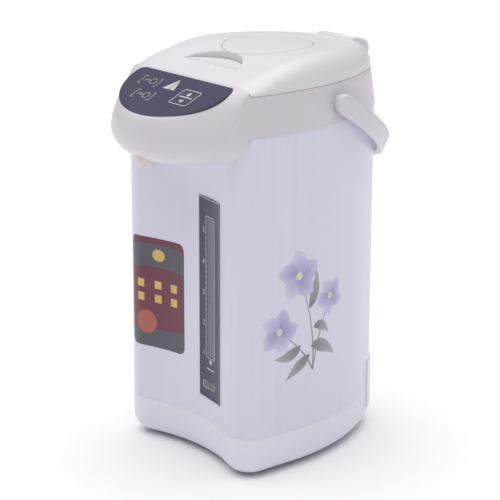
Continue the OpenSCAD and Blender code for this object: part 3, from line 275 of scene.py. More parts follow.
# collar, nose and chin: the lid's white plastic made darker to stand for the shade on their upright faces
# (painted shade)
shadeDarkIvory = moulded("shadeDarkIvoryMoulding", lin(213, 208, 215), lin(221, 216, 223))
lidIvory = moulded("lidIvory", lin(221, 219, 224), lin(229, 227, 232))
bailIvory = moulded("bailIvory", lin(213, 209, 217), lin(221, 217, 225))
steelCoat = printedSteel()
panelFilm = film("panelFilm", lin(68, 65, 88), lin(78, 75, 98))
stripFilm = film("stripFilm", lin(61, 57, 88), lin(73, 69, 100))
keyFilm = film("keyFilm", lin(70, 67, 90), lin(80, 77, 100), 0.3)
windowClear = clearWindow()
inletMould = moulded("inletMoulding", lin(236, 231, 240), lin(244, 239, 248))
beige = moulded("beigeMoulding", lin(222, 208, 204), lin(234, 221, 216))
darkMould = moulded("darkMoulding", lin(52, 50, 58), lin(64, 61, 70), (0.4, 0.55))
greyMould = moulded("greyMoulding", lin(150, 150, 152), lin(168, 167, 169), (0.4, 0.55))
lensMould = moulded("lensMoulding", lin(58, 52, 66), lin(74, 68, 82), (0.12, 0.2))
stainless = brushed("stainlessDrawn", lin(196, 198, 202), lin(224, 226, 229), (1, 1, 0.02), 0.42, 0.5)
coverSteel = brushed("coverSteel", lin(186, 188, 191), lin(220, 221, 223), (1, 0.03, 1))
plated = brushed("platedSteel", lin(168, 170, 174), lin(205, 206, 209), (1, 1, 1), 0.22)
motorSteel = brushed("motorSteel", lin(112, 114, 118), lin(142, 144, 148), (1, 1, 0.05), 0.36)
castAlu = brushed("castAluminium", lin(150, 151, 155), lin(184, 185, 188), (1, 1, 1), 0.45)
pinBrass = brushed("pinBrass", lin(190, 158, 84), lin(222, 192, 116), (1, 0.05, 1), 0.26)
footRubber = rubbery("footRubber", lin(34, 34, 36), lin(48, 48, 50))
silicone = rubbery("silicone", lin(214, 213, 208), lin(232, 231, 226), 0.45)
micaWrap = rubbery("micaWrap", lin(146, 124, 88), lin(172, 150, 112), 0.6)
boardGreen = boardMask("boardGreen")
whiteInk = inked("whiteInk", lin(196, 193, 204), lin(216, 213, 222))
lilacInk = inked("lilacInk", lin(138, 130, 190), lin(206, 202, 230), True)
palePetal = inked("paleLilacInk", lin(160, 154, 206), lin(216, 213, 236), True)
leafInk = inked("leafInk", lin(104, 104, 116), lin(176, 176, 184), True)
coreInk = inked("coreInk", lin(206, 204, 190), lin(224, 222, 206))
maroonInk = inked("maroonInk", lin(98, 34, 58), lin(114, 46, 70))
slateInk = inked("slateInk", lin(72, 70, 86), lin(90, 88, 102))
amberInk = inked("amberInk", lin(206, 168, 84), lin(224, 190, 108))
roseInk = inked("roseInk", lin(164, 82, 72), lin(182, 100, 88))
print("materials ready")

# mesh helpers


def place(p):
    return (p[0] * mm, (p[1] + shiftY) * mm, p[2] * mm)


def makePiece(name, verts, faces, mats, sharp=32.0, faceMats=None, fade=None):
    mesh = bpy.data.meshes.new(name)
    mesh.from_pydata([place(v) for v in verts], [], faces)
    if fade:
        mesh.attributes.new("fade", "FLOAT", "POINT").data.foreach_set("value", fade)
    for m in (mats if isinstance(mats, (list, tuple)) else [mats]):
        mesh.materials.append(m)
    if faceMats:
        mesh.polygons.foreach_set("material_index", faceMats)
    obj = bpy.data.objects.new(name, mesh)
    bpy.context.scene.collection.objects.link(obj)
    finishMesh(obj, sharp)
    return obj


def finishMesh(obj, sharp):
    bm = bmesh.new()
    bm.from_mesh(obj.data)
    bmesh.ops.remove_doubles(bm, verts=bm.verts, dist=1e-7)
    bmesh.ops.dissolve_degenerate(bm, edges=bm.edges, dist=1e-7)
    bmesh.ops.recalc_face_normals(bm, faces=bm.faces)
    bm.to_mesh(obj.data)
    bm.free()
    shadeMesh(obj, sharp)


def shadeMesh(obj, sharp):
    obj.data.polygons.foreach_set("use_smooth", [True] * len(obj.data.polygons))
    obj.data.set_sharp_from_angle(angle=math.radians(sharp))
    obj.data.update()


def skin(rings, loop=False, caps=False):
    # quads over rings of equal length, joined end to end, capped, or left open
    n, m = len(rings[0]), len(rings)
    verts = [p for ring in rings for p in ring]
    faces = []
    for j in range(m if loop else m - 1):
        k = (j + 1) % m
        for i in range(n):
            faces.append((j * n + i, j * n + (i + 1) % n, k * n + (i + 1) % n, k * n + i))
    if caps:
        faces.append(tuple(range(n - 1, -1, -1)))
        faces.append(tuple((m - 1) * n + i for i in range(n)))
    return verts, faces


def applyMods(obj, sharp=32.0):
    bpy.context.view_layer.update()
    mesh = bpy.data.meshes.new_from_object(obj.evaluated_get(bpy.context.evaluated_depsgraph_get()))
    obj.modifiers.clear()
    old = obj.data
    obj.data = mesh
    bpy.data.meshes.remove(old)
    shadeMesh(obj, sharp)
    return obj


def carve(obj, cutters, sharp=32.0, touching=False):
    for c in cutters:
        mod = obj.modifiers.new("cut", "BOOLEAN")
        mod.operation, mod.solver, mod.object = "DIFFERENCE", "EXACT", c
        mod.use_self = touching
    applyMods(obj, sharp)
    for c in cutters:
        bpy.data.objects.remove(c, do_unlink=True)
    return obj


def bevelled(obj, width, segments=3, angle=40.0, sharp=40.0):
    mod = obj.modifiers.new("bevel", "BEVEL")
    mod.width, mod.segments = width * mm, segments
    mod.limit_method, mod.angle_limit = "ANGLE", math.radians(angle)
    mod.use_clamp_overlap = True
    return applyMods(obj, sharp)


def joined(first, *rest):
    bm = bmesh.new()
    mats = list(first.data.materials)
    for o in (first, *rest):
        start = len(bm.faces)
        bm.from_mesh(o.data)
        bm.faces.ensure_lookup_table()
        for f in bm.faces[start:]:
            m = o.data.materials[f.material_index]
            if m not in mats:
                mats.append(m)
            f.material_index = mats.index(m)
    mesh = bpy.data.meshes.new(first.name)
    bm.to_mesh(mesh)
    bm.free()
    for m in mats:
        mesh.materials.append(m)
    first.data = mesh
    for o in rest:
        bpy.data.objects.remove(o, do_unlink=True)
    return first


def lathe(name, centre, profile, mats, n=128, sharp=32.0):
    # closed profile of (radius, height) turned about an upright axis
    rings = [[(*polar(centre, max(r, 0.0), 2 * math.pi * i / n), z) for i in range(n)] for r, z in profile]
    return makePiece(name, *skin(rings, loop=True), mats, sharp)


def extruded(name, outline, x0, x1, mats, sharp=30.0):
    # a (y, z) outline pulled along X
    rings = [[(x, p[0], p[1]) for p in outline] for x in (x0, x1)]
    return makePiece(name, *skin(rings, caps=True), mats, sharp)


def settle(obj, body, slot, *nodes):
    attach(obj, body)
    if nodes:
        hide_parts(*nodes)
    return obj


# body: steel wrapper and base

body = {
    "sheet": 0.8, "dishSteps": 56, "cornerSteps": 18, "sideSteps": 40, "backSteps": 60,
    "windowX": (26.0, 40.0), "windowZ": (107.0, 243.0), "inletX": 57.1, "inletZ": (22.4, 70.1),
}


def outlineAngles():
    # columns of the plan outline, with one on each edge of the window and of the inlet
    corner = body["cornerSteps"]
    dish = spread(math.pi - dishA, dishA, body["dishSteps"], False)
    dish = sorted(dish + [math.acos(x / dishR) for x in body["windowX"]], reverse=True)
    turn = math.acos((body["inletX"] - sideX) / sideR)
    right = sorted(spread(0, joinA, body["sideSteps"], False) + [turn])
    cols = [((0, dishY), dishR, 1, a) for a in dish]
    cols += [((cornerX, cornerY), pot["cornerR"], -1, a) for a in spread(dishA - math.pi, 0, corner)]
    cols += [((sideX, 0), sideR, -1, a) for a in right]
    cols += [((0, backY), pot["backR"], -1, a) for a in spread(joinA, math.pi - joinA, body["backSteps"])]
    cols += [((-sideX, 0), sideR, -1, math.pi - a) for a in reversed(right)]
    cols += [((-cornerX, cornerY), pot["cornerR"], -1, a)
             for a in spread(math.pi, 2 * math.pi - dishA, corner, False)]
    return cols


bodyCols = outlineAngles()


def bodyPt(col, d):
    c, r, s, a = col
    return polar(c, r + s * d, a)


def wall(name, rows, hole, mats):
    # rows of (outer inset, outer height, inner inset, inner height), without the cells that hole names
    n, m = len(bodyCols), len(rows)
    outer = [(*bodyPt(c, r[0]), r[1]) for r in rows for c in bodyCols]
    inner = [(*bodyPt(c, r[2]), r[3]) for r in rows for c in bodyCols]
    off = n * m

    def gone(i, j):
        if j < 0 or j >= m - 1:
            return True
        p, q = bodyPt(bodyCols[i % n], 0), bodyPt(bodyCols[(i + 1) % n], 0)
        return hole((p[0] + q[0]) / 2, (p[1] + q[1]) / 2, (rows[j][1] + rows[j + 1][1]) / 2)

    faces = []
    for j in range(m - 1):
        for i in range(n):
            if gone(i, j):
                continue
            k = (i + 1) % n
            a, b, c, d = j * n + i, j * n + k, (j + 1) * n + k, (j + 1) * n + i
            faces += [(a, b, c, d), (off + d, off + c, off + b, off + a)]
            if gone(i, j - 1):
                faces.append((b, a, off + a, off + b))
            if gone(i, j + 1):
                faces.append((d, c, off + c, off + d))
            if gone(i - 1, j):
                faces.append((a, d, off + d, off + a))
            if gone(i + 1, j):
                faces.append((c, b, off + b, off + c))
    return makePiece(name, outer + inner, faces, mats, 28.0)


def inletHole(x, y, z):
    return abs(x) < body["inletX"] and y > 100 and body["inletZ"][0] < z < body["inletZ"][1]


def shellHole(x, y, z):
    w, h = body["windowX"], body["windowZ"]
    return inletHole(x, y, z) or (w[0] < x < w[1] and y < 0 and h[0] < z < h[1])


base = {"fillet": 19.0, "wall": 2.6, "lap": 1.0, "steps": 16, "edge": 0.7}


def makeBody():
    t = body["sheet"]
    heights = [pot["seam"], body["inletZ"][1], *body["windowZ"], pot["collar"]]
    shell = wall("steelBody", [(0, z, t, z) for z in heights], shellHole, steelCoat)
    settle(shell, "pot", "printed_steel", "outer_shell")

    rows = []
    inner, r, e = base["wall"] + base["lap"], base["fillet"] - base["wall"], base["edge"]
    for k in range(base["steps"] + 1):
        a = math.pi / 2 * k / base["steps"]
        d, z = base["fillet"] * (1 - math.sin(a)), pot["footH"] + base["fillet"] * (1 - math.cos(a))
        rows.append((d, z, inner + r * (1 - math.sin(a)) + (0.0 if k else base["lap"]),
                     pot["footH"] + (base["wall"] if k else 0.0) + r * (1 - math.cos(a))))
    rows.append((0, body["inletZ"][0], inner, body["inletZ"][0]))
    for inset, drop in ((0, e), (0.3 * e, 0.3 * e), (e, 0)):
        rows.append((inset, pot["seam"] - drop, inner, pot["seam"] - drop))
    ring = wall("baseMoulding", rows, inletHole, shadeOffsetBaseIvory)
    settle(ring, "pot", "white_plastic", "base_moulding")
    print("body made")


# collar, nose and chin

head = {
    "lidY": -50.0, "gap": 0.8, "seamGap": 0.4, "wall": 2.5, "belly": 324.0, "edge": 10.0, "lidEdge": 20.0,
    "fullPhi": math.radians(35), "widthPhi": math.radians(70), "tightPhi": math.radians(26),
    "panelY": -53.0, "panelSlope": math.radians(25), "mouthR": 73.0, "mouthLow": 352.0,
    "seatR": 83.5, "plateC": (0.0, 42.0), "round": 0.6, "stepGap": 0.0026,
    "sideSteps": 30, "backSteps": 44, "cornerSteps": 6, "tightSteps": 14, "noseSteps": 40,
}
stepY = head["lidY"] - head["gap"]
rimZ = pot["lidSeam"] - head["seamGap"]
deckZ = rimZ - head["wall"]
panelZ = domeZ(head["panelY"])
stepPhi = math.asin((-stepY + pot["noseY"]) / (noseR - pot["lean"]))


def topZ(y):
    return panelZ - (head["panelY"] - y) * math.tan(head["panelSlope"]) if y < head["panelY"] else domeZ(y)


def headColumns():
    tight, grow = head["tightPhi"], pot["proud"]
    half = spread(0, stepPhi - head["stepGap"], head["cornerSteps"])
    half += spread(stepPhi, tight, head["tightSteps"], False) + spread(tight, math.pi / 2, head["noseSteps"])
    cols = []
    for i, phi in enumerate(half + half[-2::-1]):
        cols.append(((0, pot["noseY"]), noseR, math.pi + phi if i < len(half) else 2 * math.pi - phi, phi))
    back = spread(joinA, math.pi - joinA, head["backSteps"], False)
    cols += [((sideX, 0), sideR + grow, a, 0) for a in spread(0, joinA, head["sideSteps"], False)]
    cols += [((0, backY), pot["backR"] + grow, a, 0) for a in back]
    cols += [((-sideX, 0), sideR + grow, a, 0) for a in spread(math.pi - joinA, math.pi, head["sideSteps"])]
    return cols


headCols = headColumns()


def headPt(col, e):
    return polar(col[0], col[1] - e, col[2])


class Edge:
    # soft edge of the nose at one column, on a wall that leans in
    def __init__(self, col):
        phi = col[3]
        s = smooth((phi - stepPhi) / (head["fullPhi"] - stepPhi))
        self.col, self.lean = col, pot["lean"] * (1 - s)
        self.low = mix(pot["lidSeam"], head["belly"], s)
        self.w = mix(head["lidEdge"], head["edge"], smooth((phi - stepPhi) / (head["widthPhi"] - stepPhi)))
        self.p = mix(2.0, 1.5, s)
        self.top = topZ(headPt(col, self.w + self.lean)[1])

    def inset(self, z):
        t = min(1.0, max(0.0, z - self.low) / (self.top - self.low))
        return self.w * (1 - (1 - t ** self.p) ** (1 / self.p))

    def height(self, e):
        t = 1 - min(1.0, max(0.0, e / self.w))
        return self.low + (self.top - self.low) * (1 - t ** self.p) ** (1 / self.p)

    def spot(self, e, z):
        up = min(1.0, max(0.0, (z - pot["collar"]) / (pot["lidSeam"] - pot["collar"])))
        return headPt(self.col, e + self.lean * up)

    def skin(self, e, z):
        return (*self.spot(e, z), z)


def toward(p, r):
    # spot at a radius from the plate's middle, on the line to p
    c = head["plateC"]
    d = math.hypot(p[0] - c[0], p[1] - c[1])
    return (c[0] + (p[0] - c[0]) * r / d, c[1] + (p[1] - c[1]) * r / d)


def mouthPt(col, r):
    return toward(headPt(col, 0), r)


def seatRing(col):
    m, low, w, r = head["mouthR"], head["mouthLow"], head["wall"], head["round"]
    spots = [(m + r, rimZ), (m + 0.3 * r, rimZ - 0.3 * r), (m, rimZ - r), (m, low), (head["seatR"], low),
             (head["seatR"], low + w), (m + w, low + w), (m + w, deckZ)]
    return [(*mouthPt(col, q), z) for q, z in spots]


edgeSteps = [0.012, 0.04, 0.08, 0.14, 0.21, 0.3, 0.4, 0.5, 0.6, 0.7, 0.8, 0.9, 1.0]


def noseColumn(col):
    edge, low, w, r = Edge(col), pot["collar"], head["wall"], head["round"]
    z1 = max(edge.low, low + 2)
    e1 = edge.inset(z1)
    # inset at which the column meets the lid's step
    reach = noseR + (stepY - pot["noseY"]) / math.sin(col[3]) - edge.lean
    full = reach > edge.w
    e9 = max(min(edge.w, reach), e1 + 0.05)
    z9, m = edge.height(e9), mouthPt(col, head["mouthR"])
    p9 = edge.spot(e9, z9)
    b = mix2(p9, m, max(0.001, (stepY - p9[1]) / (m[1] - p9[1])))
    bTop = topZ(stepY) if full else z9
    lip = min(0.2 * r, 0.08 * math.dist(p9, b))
    out = [edge.skin(edge.inset(z), z) for z in [low] + spread(low + 0.25, z1, 5)]
    out += [edge.skin(mix(e1, e9, g), edge.height(mix(e1, e9, g))) for g in edgeSteps]
    out += [(*q, topZ(q[1]) if full else z9) for g in (0.3, 0.6, 0.9) for q in [mix2(p9, b, g)]]
    out += [(b[0], b[1] - lip, bTop), (*b, bTop - lip), (b[0], b[1] + 0.01, rimZ)]
    out += seatRing(col)
    if reach > edge.w + 6:
        y8, zMid = mix2(p9, b, 0.8), mix(z1, z9, 0.45)
        out += [(*mix2((b[0], stepY - w), m, 0.04), deckZ), (*y8, topZ(y8[1]) - w * 1.2),
                edge.skin(e9 + w, z9 - w * 1.3)]
    else:
        zMid = mix(low, deckZ, 0.5)
        q = edge.spot(edge.inset(deckZ) + w, deckZ)
        out += [(*mix2(q, m, 0.05), deckZ), (*mix2(q, m, 0.02), deckZ), (*q, deckZ)]
    out.append(edge.skin(edge.inset(zMid) + w, min(zMid - 1, z9 - 2 * w)))
    return out + [edge.skin(edge.inset(low) + w, low)]


def collarColumn(col):
    low, w, r = pot["collar"], head["wall"], head["round"]
    edge = Edge(col)
    m, p, q = mouthPt(col, head["mouthR"] + r), edge.spot(0, rimZ), edge.spot(w, rimZ)

    def rim(d, z):
        return (*mix2(p, m, d / math.dist(p, m)), z)

    out = [edge.skin(0.25, low)]
    out += [edge.skin(0, z) for z in spread(low + 0.25, rimZ - r, 5)]
    out += [rim(q * r, rimZ - h * r) for q, h in ((0.08, 0.62), (0.3, 0.3), (0.62, 0.08), (1, 0))]
    out += [rim(d, rimZ) for d in spread(0.8, 3.6, 14)]
    out += seatRing(col) + [(*mix2(q, m, 0.3), deckZ), (*mix2(q, m, 0.15), deckZ), (*q, deckZ)]
    return out + [edge.skin(w, mix(low, deckZ, 0.5)), edge.skin(w, low)]


panel = {"halfW": 71.0, "len": 63.5, "corner": 8.0, "fit": 0.15}


def panelOutline(d, n=96):
    w, l, c = panel["halfW"] - d, panel["len"] - panel["corner"] - d, panel["corner"] - d
    pts = [(w * math.cos(a), -panel["corner"] + l * math.sin(a)) for a in spread(math.pi, 2 * math.pi, n)]
    pts += [polar((w - c, -panel["corner"]), c, a) for a in spread(math.pi / 14, math.pi / 2, 8)]
    pts += [polar((c - w, -panel["corner"]), c, a) for a in spread(math.pi / 2, math.pi * 13 / 14, 8)]
    return pts


def onPanel(x, y, z):
    # panel plane to pot: x across, y up the slope, z out of it
    c, s = math.cos(head["panelSlope"]), math.sin(head["panelSlope"])
    return (x, head["panelY"] + y * c - z * s, panelZ + y * s + z * c)


hinge = {
    "y": 139.0, "z": 379.5, "pinR": 3.0, "knuckleW": 19.6, "knuckleR": 8.0, "humpW": 26.0, "humpR": 12.3,
    "humpFoot": 5.0, "rollR": 10.3, "rollY": 5.0, "rollZ": 4.0, "play": 0.05,
}
pivot = {"y": 56.0, "z": 347.0, "bossR": 8.0, "armGap": 1.6, "play": 0.5, "pegR": 4.05}
pivotWall = sideX + math.sqrt((sideR + pot["proud"]) ** 2 - pivot["y"] ** 2)
pivotLean = pot["lean"] * (pivot["z"] - pot["collar"]) / (pot["lidSeam"] - pot["collar"])


def barrelX(name, y, z, profile, mats, n=64, sharp=32.0):
    # closed profile of (x, radius) turned about an axis along X
    rings = [[(x, *polar((y, z), r, 2 * math.pi * i / n)) for i in range(n)]
             for x, r in profile]
    return makePiece(name, *skin(rings, loop=True), mats, sharp)


def softDisc(x0, x1, r, bore, e):
    # (x, radius) outline of a ring with rounded outer edges
    out = [(x0, bore), (x0, r - e)]
    out += [(x0 + e * (1 - math.cos(a)), r - e + e * math.sin(a)) for a in spread(0.3, math.pi / 2, 4)]
    out += [(x1 - e * (1 - math.cos(a)), r - e + e * math.sin(a)) for a in spread(math.pi / 2, 0.3, 4)]
    return out + [(x1, r - e), (x1, bore)]


def makeHead():
    cols = [noseColumn(c) if c[3] > stepPhi - 0.001 else collarColumn(c) for c in headCols]
    rings = [[c[j] for c in cols] for j in range(len(cols[0]))]
    collar = makePiece("collarAndNose", *skin(rings, loop=True), shadeDarkIvory, 34.0)
    cut = [[onPanel(x, y, z) for x, y in panelOutline(-panel["fit"])] for z in (-8, 8)]
    carve(collar, [makePiece("panelCut", *skin(cut, caps=True), shadeDarkIvory)], 34.0, True)
    w, r = hinge["knuckleW"], hinge["knuckleR"]
    barrel = barrelX("knuckle", hinge["y"], hinge["z"], softDisc(-w, w, r, hinge["pinR"], 0.6), shadeDarkIvory)
    y0, y1, low, high = hinge["y"] - r + 1, hinge["y"] + r - 1, rimZ - 1, hinge["z"] - 2
    post = extruded("post", [(y0, low), (y1, low), (y1, high), (y0, high)], -w, w, shadeDarkIvory)
    bevelled(post, 0.5)
    x0, x1 = pivotWall - pivotLean - 0.9 * head["wall"], pivotWall + pivot["armGap"] - pivot["play"]
    line = softDisc(x0, x1, pivot["bossR"], pivot["pegR"], 0.5)
    bosses = [barrelX("boss", pivot["y"], pivot["z"], [(s * x, q) for x, q in line], shadeDarkIvory) for s in (-1, 1)]
    joined(collar, barrel, post, *bosses)
    settle(collar, "pot", "white_plastic", "upper_housing")
    print("head made")


chin = {
    "r": 25.0, "rise": 4.0, "start": 0.345, "tuck": 1.2, "least": 6.0, "t": 2.0,
    "columns": 96, "arcSteps": 30,
}
spout = {"y": -102.0, "holeR": 10.15, "holeZ": (280, 322)}
spout["line"] = [
    (4.0, 315.0), (7.0, 315.0), (9.6, 310.0), (10.0, 308.5), (10.0, 297.2), (9.7, 296.1), (9.1, 295.6),
    (8.4, 295.5), (6.6, 295.5), (6.2, 295.7), (6.0, 296.2), (4.4, 299.0), (4.0, 300.5),
]


def frontY(x):
    # plan line of the body's front under the chin
    if abs(x) < cornerX * 0.95:
        return dishY + math.sqrt(dishR ** 2 - x * x)
    return cornerY - math.sqrt(max(0.0, pot["cornerR"] ** 2 - (abs(x) - cornerX) ** 2))


def chinColumn(a):
    # from the collar's edge down round the belly and in under the body's front
    mid = (0, pot["noseY"])
    phi = math.pi / 2 - abs(a - 1.5 * math.pi)
    belly, turn = head["belly"] + chin["rise"] * math.cos(phi) ** 2, noseR - chin["r"]
    edge = Edge((mid, noseR, a, phi))

    def tucked(r):
        x, y = polar(mid, r, a)
        return y > frontY(x) + chin["tuck"]

    inner = next((r for r in [noseR - k * 0.5 for k in range(190)] if tucked(r)), chin["least"])
    line = [(noseR - edge.inset(z), z) for z in spread(pot["collar"], belly, 4, False)]
    line += [polar((turn, belly), chin["r"], b) for b in spread(0, -math.pi / 2, chin["arcSteps"])]
    line = [(max(r, inner), z) for r, z in line]
    line += [(mix(max(turn, inner), inner, g), belly - chin["r"]) for g in (0.4, 0.7, 1.0)]
    return [(*polar(mid, r, a), z) for r, z in line]


def makeChin():
    n, start = chin["columns"], chin["start"]
    cols = [chinColumn(math.pi + mix(start, math.pi - start, k / n)) for k in range(n + 1)]
    rows = len(cols[0])
    faces = [(k * rows + j, k * rows + j + 1, (k + 1) * rows + j + 1, (k + 1) * rows + j)
             for k in range(n) for j in range(rows - 1)]
    under = makePiece("chin", [p for c in cols for p in c], faces, shadeDarkIvory, 40.0)
    solid = under.modifiers.new("thick", "SOLIDIFY")
    solid.thickness, solid.offset = chin["t"] * mm, -1
    applyMods(under, 40.0)
    at, r, (z0, z1) = (0, spout["y"]), spout["holeR"], spout["holeZ"]
    carve(under, [lathe("spoutCut", at, [(0, z0), (r, z0), (r, z1), (0, z1)], shadeDarkIvory, 64)], 40.0)
    settle(under, "pot", "white_plastic", "nose_underside")
    settle(lathe("spoutNozzle", at, spout["line"], beige, 72), "pot", "beige_plastic", "spout_nozzle")
    print("chin and spout made")


# lid, press plate, inner cover

lid = {
    "back": 141.5, "t": 2.5, "holeR": 43.6, "guideT": 2.0, "guideZ": 360.0, "draft": 0.6,
    "scoopR": 43.0, "scoopY": -44.0, "scoopZ": 381.5, "flapT": 2.3, "flapGap": 0.4, "lip": 1.1,
    "cornerSteps": 10, "sideSteps": 30, "backSteps": 44, "frontSteps": 48,
}
scoopFloor = lid["scoopZ"] - lid["flapT"] - lid["flapGap"]
lidE = head["lidEdge"]
lidSteps = [0, 0.08, 0.3, 0.7, 1.3, 2.1, 3.2, 4.6, 6.3, 8.3, 10.6, 13.2, 16.2, lidE]


def lidColumn(k, e, g):
    n1, n2, n3, n4 = lid["cornerSteps"], lid["sideSteps"], lid["backSteps"], lid["frontSteps"]
    front = -head["lidY"] - g + lid["draft"] * smooth(e / 6)
    e += pot["lean"]
    grow = pot["proud"] - e
    phi = math.asin((front + pot["noseY"]) / (noseR - e))
    fx = (noseR - e) * math.cos(phi)
    if k <= n1:
        p = polar((0, pot["noseY"]), noseR - e, -phi * (1 - k / n1))
    elif k <= n1 + n2:
        p = polar((sideX, 0), sideR + grow, joinA * (k - n1 - 1) / n2)
    elif k <= n1 + n2 + n3:
        p = polar((0, backY), pot["backR"] + grow, mix(joinA, math.pi - joinA, (k - n1 - n2 - 1) / n3))
    elif k <= n1 + 2 * n2 + n3 + 1:
        p = polar((-sideX, 0), sideR + grow, mix(math.pi - joinA, math.pi, (k - n1 - n2 - n3 - 1) / n2))
    elif k <= 2 * n1 + 2 * n2 + n3 + 1:
        p = polar((0, pot["noseY"]), noseR - e, math.pi + phi * (k - n1 - 2 * n2 - n3 - 1) / n1)
    else:
        p = (fx * (2 * (k - 2 * n1 - 2 * n2 - n3 - 1) / n4 - 1), -front)
    return (p[0], min(p[1], lid["back"] - g))


def roundZ(e, y, drop):
    rise = math.sqrt(max(0.0, 1 - (1 - min(e, lidE) / lidE) ** 2))
    return pot["lidSeam"] + (domeZ(y) - drop - pot["lidSeam"]) * rise


def towardHole(k, r):
    return toward(lidColumn(k, lidE, 0), r)


def lidRings():
    count = 2 * lid["cornerSteps"] + 2 * lid["sideSteps"] + lid["backSteps"] + lid["frontSteps"] + 1
    cols = []
    for k in range(count):
        top, under = lidColumn(k, lidE, 0), lidColumn(k, lidE + lid["t"], lid["t"])
        hole, tube = towardHole(k, lid["holeR"]), towardHole(k, lid["holeR"] + lid["guideT"])
        rim = towardHole(k, lid["holeR"] + 0.7)
        col = [(*p, roundZ(e, p[1], 0)) for e in lidSteps for p in [lidColumn(k, e, 0)]]
        col += [(*q, domeZ(q[1])) for g in (0.15, 0.3, 0.45, 0.6, 0.75, 0.9, 1.0)
                for q in [mix2(top, rim, g)]]
        col += [(*towardHole(k, lid["holeR"] + 0.2), domeZ(rim[1]) - 0.2), (*hole, domeZ(hole[1]) - 0.7)]
        col += [(*hole, lid["guideZ"]), (*tube, lid["guideZ"])]
        col += [(*q, domeZ(q[1]) - lid["t"]) for g in (1.0, 0.75, 0.5, 0.25, 0.0)
                for q in [mix2(under, tube, g)]]
        col += [(*p, roundZ(lidSteps[j], p[1], lid["t"])) for j in (12, 10, 8, 6, 3, 0)
                for p in [lidColumn(k, lidSteps[j] + lid["t"], lid["t"])]]
        cols.append(col)
    return [[c[j] for c in cols] for j in range(len(cols[0]))]


def scoopFront(z):
    return pot["crownY"] - math.sqrt((pot["crown"] - z) * pot["frontFall"])


def scoopCutter():
    # recess with a rolled lip that follows the dome, closed in front by the flap's hinge line
    r, lip, floor = lid["scoopR"], lid["lip"], scoopFloor
    y0 = scoopFront(lid["scoopZ"])
    a0 = math.asin((y0 - lid["scoopY"]) / r)
    cols = []
    for a in spread(a0, math.pi - a0, 72):
        rim = domeZ(polar((0, lid["scoopY"]), r, a)[1])
        steps = [(r, floor), (r, max(floor + 0.2, rim - lip))]
        steps += [(r + lip * (1 - math.cos(b)), max(floor + 0.3, rim - lip + lip * math.sin(b))) for b in
                  spread(0.35, math.pi / 2, 5)]
        steps.append((r + lip, rim + 12))
        cols.append([(*polar((0, lid["scoopY"]), q, a), z) for q, z in steps])
    rows = len(cols[0])
    rings = [[c[j] for c in cols] for j in range(rows)]
    for ring in rings:
        ring[0] = (ring[0][0], y0, ring[0][2])
        ring[-1] = (ring[-1][0], y0, ring[-1][2])
    return makePiece("scoopCut", *skin(rings, caps=True), lidIvory)


def scoopPan():
    # floor and wall under the recess
    r, mid, deep = lid["scoopR"] + 0.03, (0, lid["scoopY"]), scoopFloor - 2.4
    a0 = math.asin((scoopFront(lid["scoopZ"]) - 1.5 - lid["scoopY"]) / r)
    cols = []
    for a in spread(a0, math.pi - a0, 64):
        p, o = polar(mid, r, a), polar(mid, r + 1.8, a)
        top = max(domeZ(p[1]) - 1.4, scoopFloor + 0.2)
        cols.append([(*p, scoopFloor), (*p, top), (*o, top), (*o, deep), (p[0] * 0.98, p[1] - 0.4, deep)])
    n = len(cols)
    faces = [(k * 5 + j, k * 5 + (j + 1) % 5, (k + 1) * 5 + (j + 1) % 5, (k + 1) * 5 + j)
             for k in range(n - 1) for j in range(4)]
    faces += [tuple(k * 5 for k in range(n)), tuple(k * 5 + 4 for k in range(n - 1, -1, -1))]
    faces += [(0, 1, 2, 3, 4), tuple((n - 1) * 5 + j for j in (4, 3, 2, 1, 0))]
    faces.append((0, 4, (n - 1) * 5 + 4, (n - 1) * 5))
    return makePiece("pan", [q for c in cols for q in c], faces, lidIvory, 34.0)


def humpOutline():
    # front of the block and its rolled upper edge
    y, z = hinge["y"] - hinge["humpR"], hinge["z"] + hinge["humpR"] - hinge["rollZ"]
    pts = [(y, hinge["z"] + hinge["humpFoot"]), (y, z)]
    for a in spread(math.pi / 10, math.pi / 2, 4):
        pts.append((y + hinge["rollY"] * (1 - math.cos(a)), z + hinge["rollZ"] * math.sin(a)))
    return pts


def hingeHump(clearW):
    # cheeks round the pin and a cover over the knuckle
    ramp, c, roll = humpOutline(), (hinge["y"], hinge["z"]), hinge["rollR"]
    front, inside, hole = c[0] - hinge["humpR"], hinge["knuckleR"] + 0.8, hinge["pinR"] + hinge["play"]
    cheek = ramp + [polar(c, roll, a) for a in spread(math.radians(70), math.radians(-150), 40)]
    cheek.append((front, c[1] - 4.0))
    parts = []
    for x0, x1 in ((-hinge["humpW"], -clearW), (clearW, hinge["humpW"])):
        side = extruded("cheek", cheek, x0, x1, lidIvory)
        line = [(x0 - 2, 0.0), (x0 - 2, hole), (x1 + 2, hole), (x1 + 2, 0.0)]
        parts.append(bevelled(carve(side, [barrelX("bore", *c, line, lidIvory, 48)]), 0.9))
    cover = ramp + [polar(c, roll, a) for a in spread(math.radians(70), math.radians(50), 6)]
    cover += [polar(c, inside, a) for a in spread(math.radians(50), math.radians(176), 26)]
    cover += [(c[0] - inside, c[1] - 3.0), (front, c[1] - 3.0)]
    parts.append(bevelled(extruded("cover", cover, -clearW - 0.5, clearW + 0.5, lidIvory), 0.5))
    return parts


def makeLid():
    shell = makePiece("lidCover", *skin(lidRings(), loop=True), lidIvory, 34.0)
    clearW = hinge["knuckleW"] + 0.4
    y0 = hinge["y"] - hinge["knuckleR"] - 0.5
    box = [(y0, 355), (y0 + 60, 355), (y0 + 60, 420), (y0, 420)]
    gap = extruded("gapCut", box, -clearW, clearW, lidIvory)
    carve(shell, [scoopCutter(), gap], 34.0)
    joined(shell, scoopPan(), *hingeHump(clearW))
    settle(shell, "lid", "white_plastic", "lid_shell")
    print("lid made")


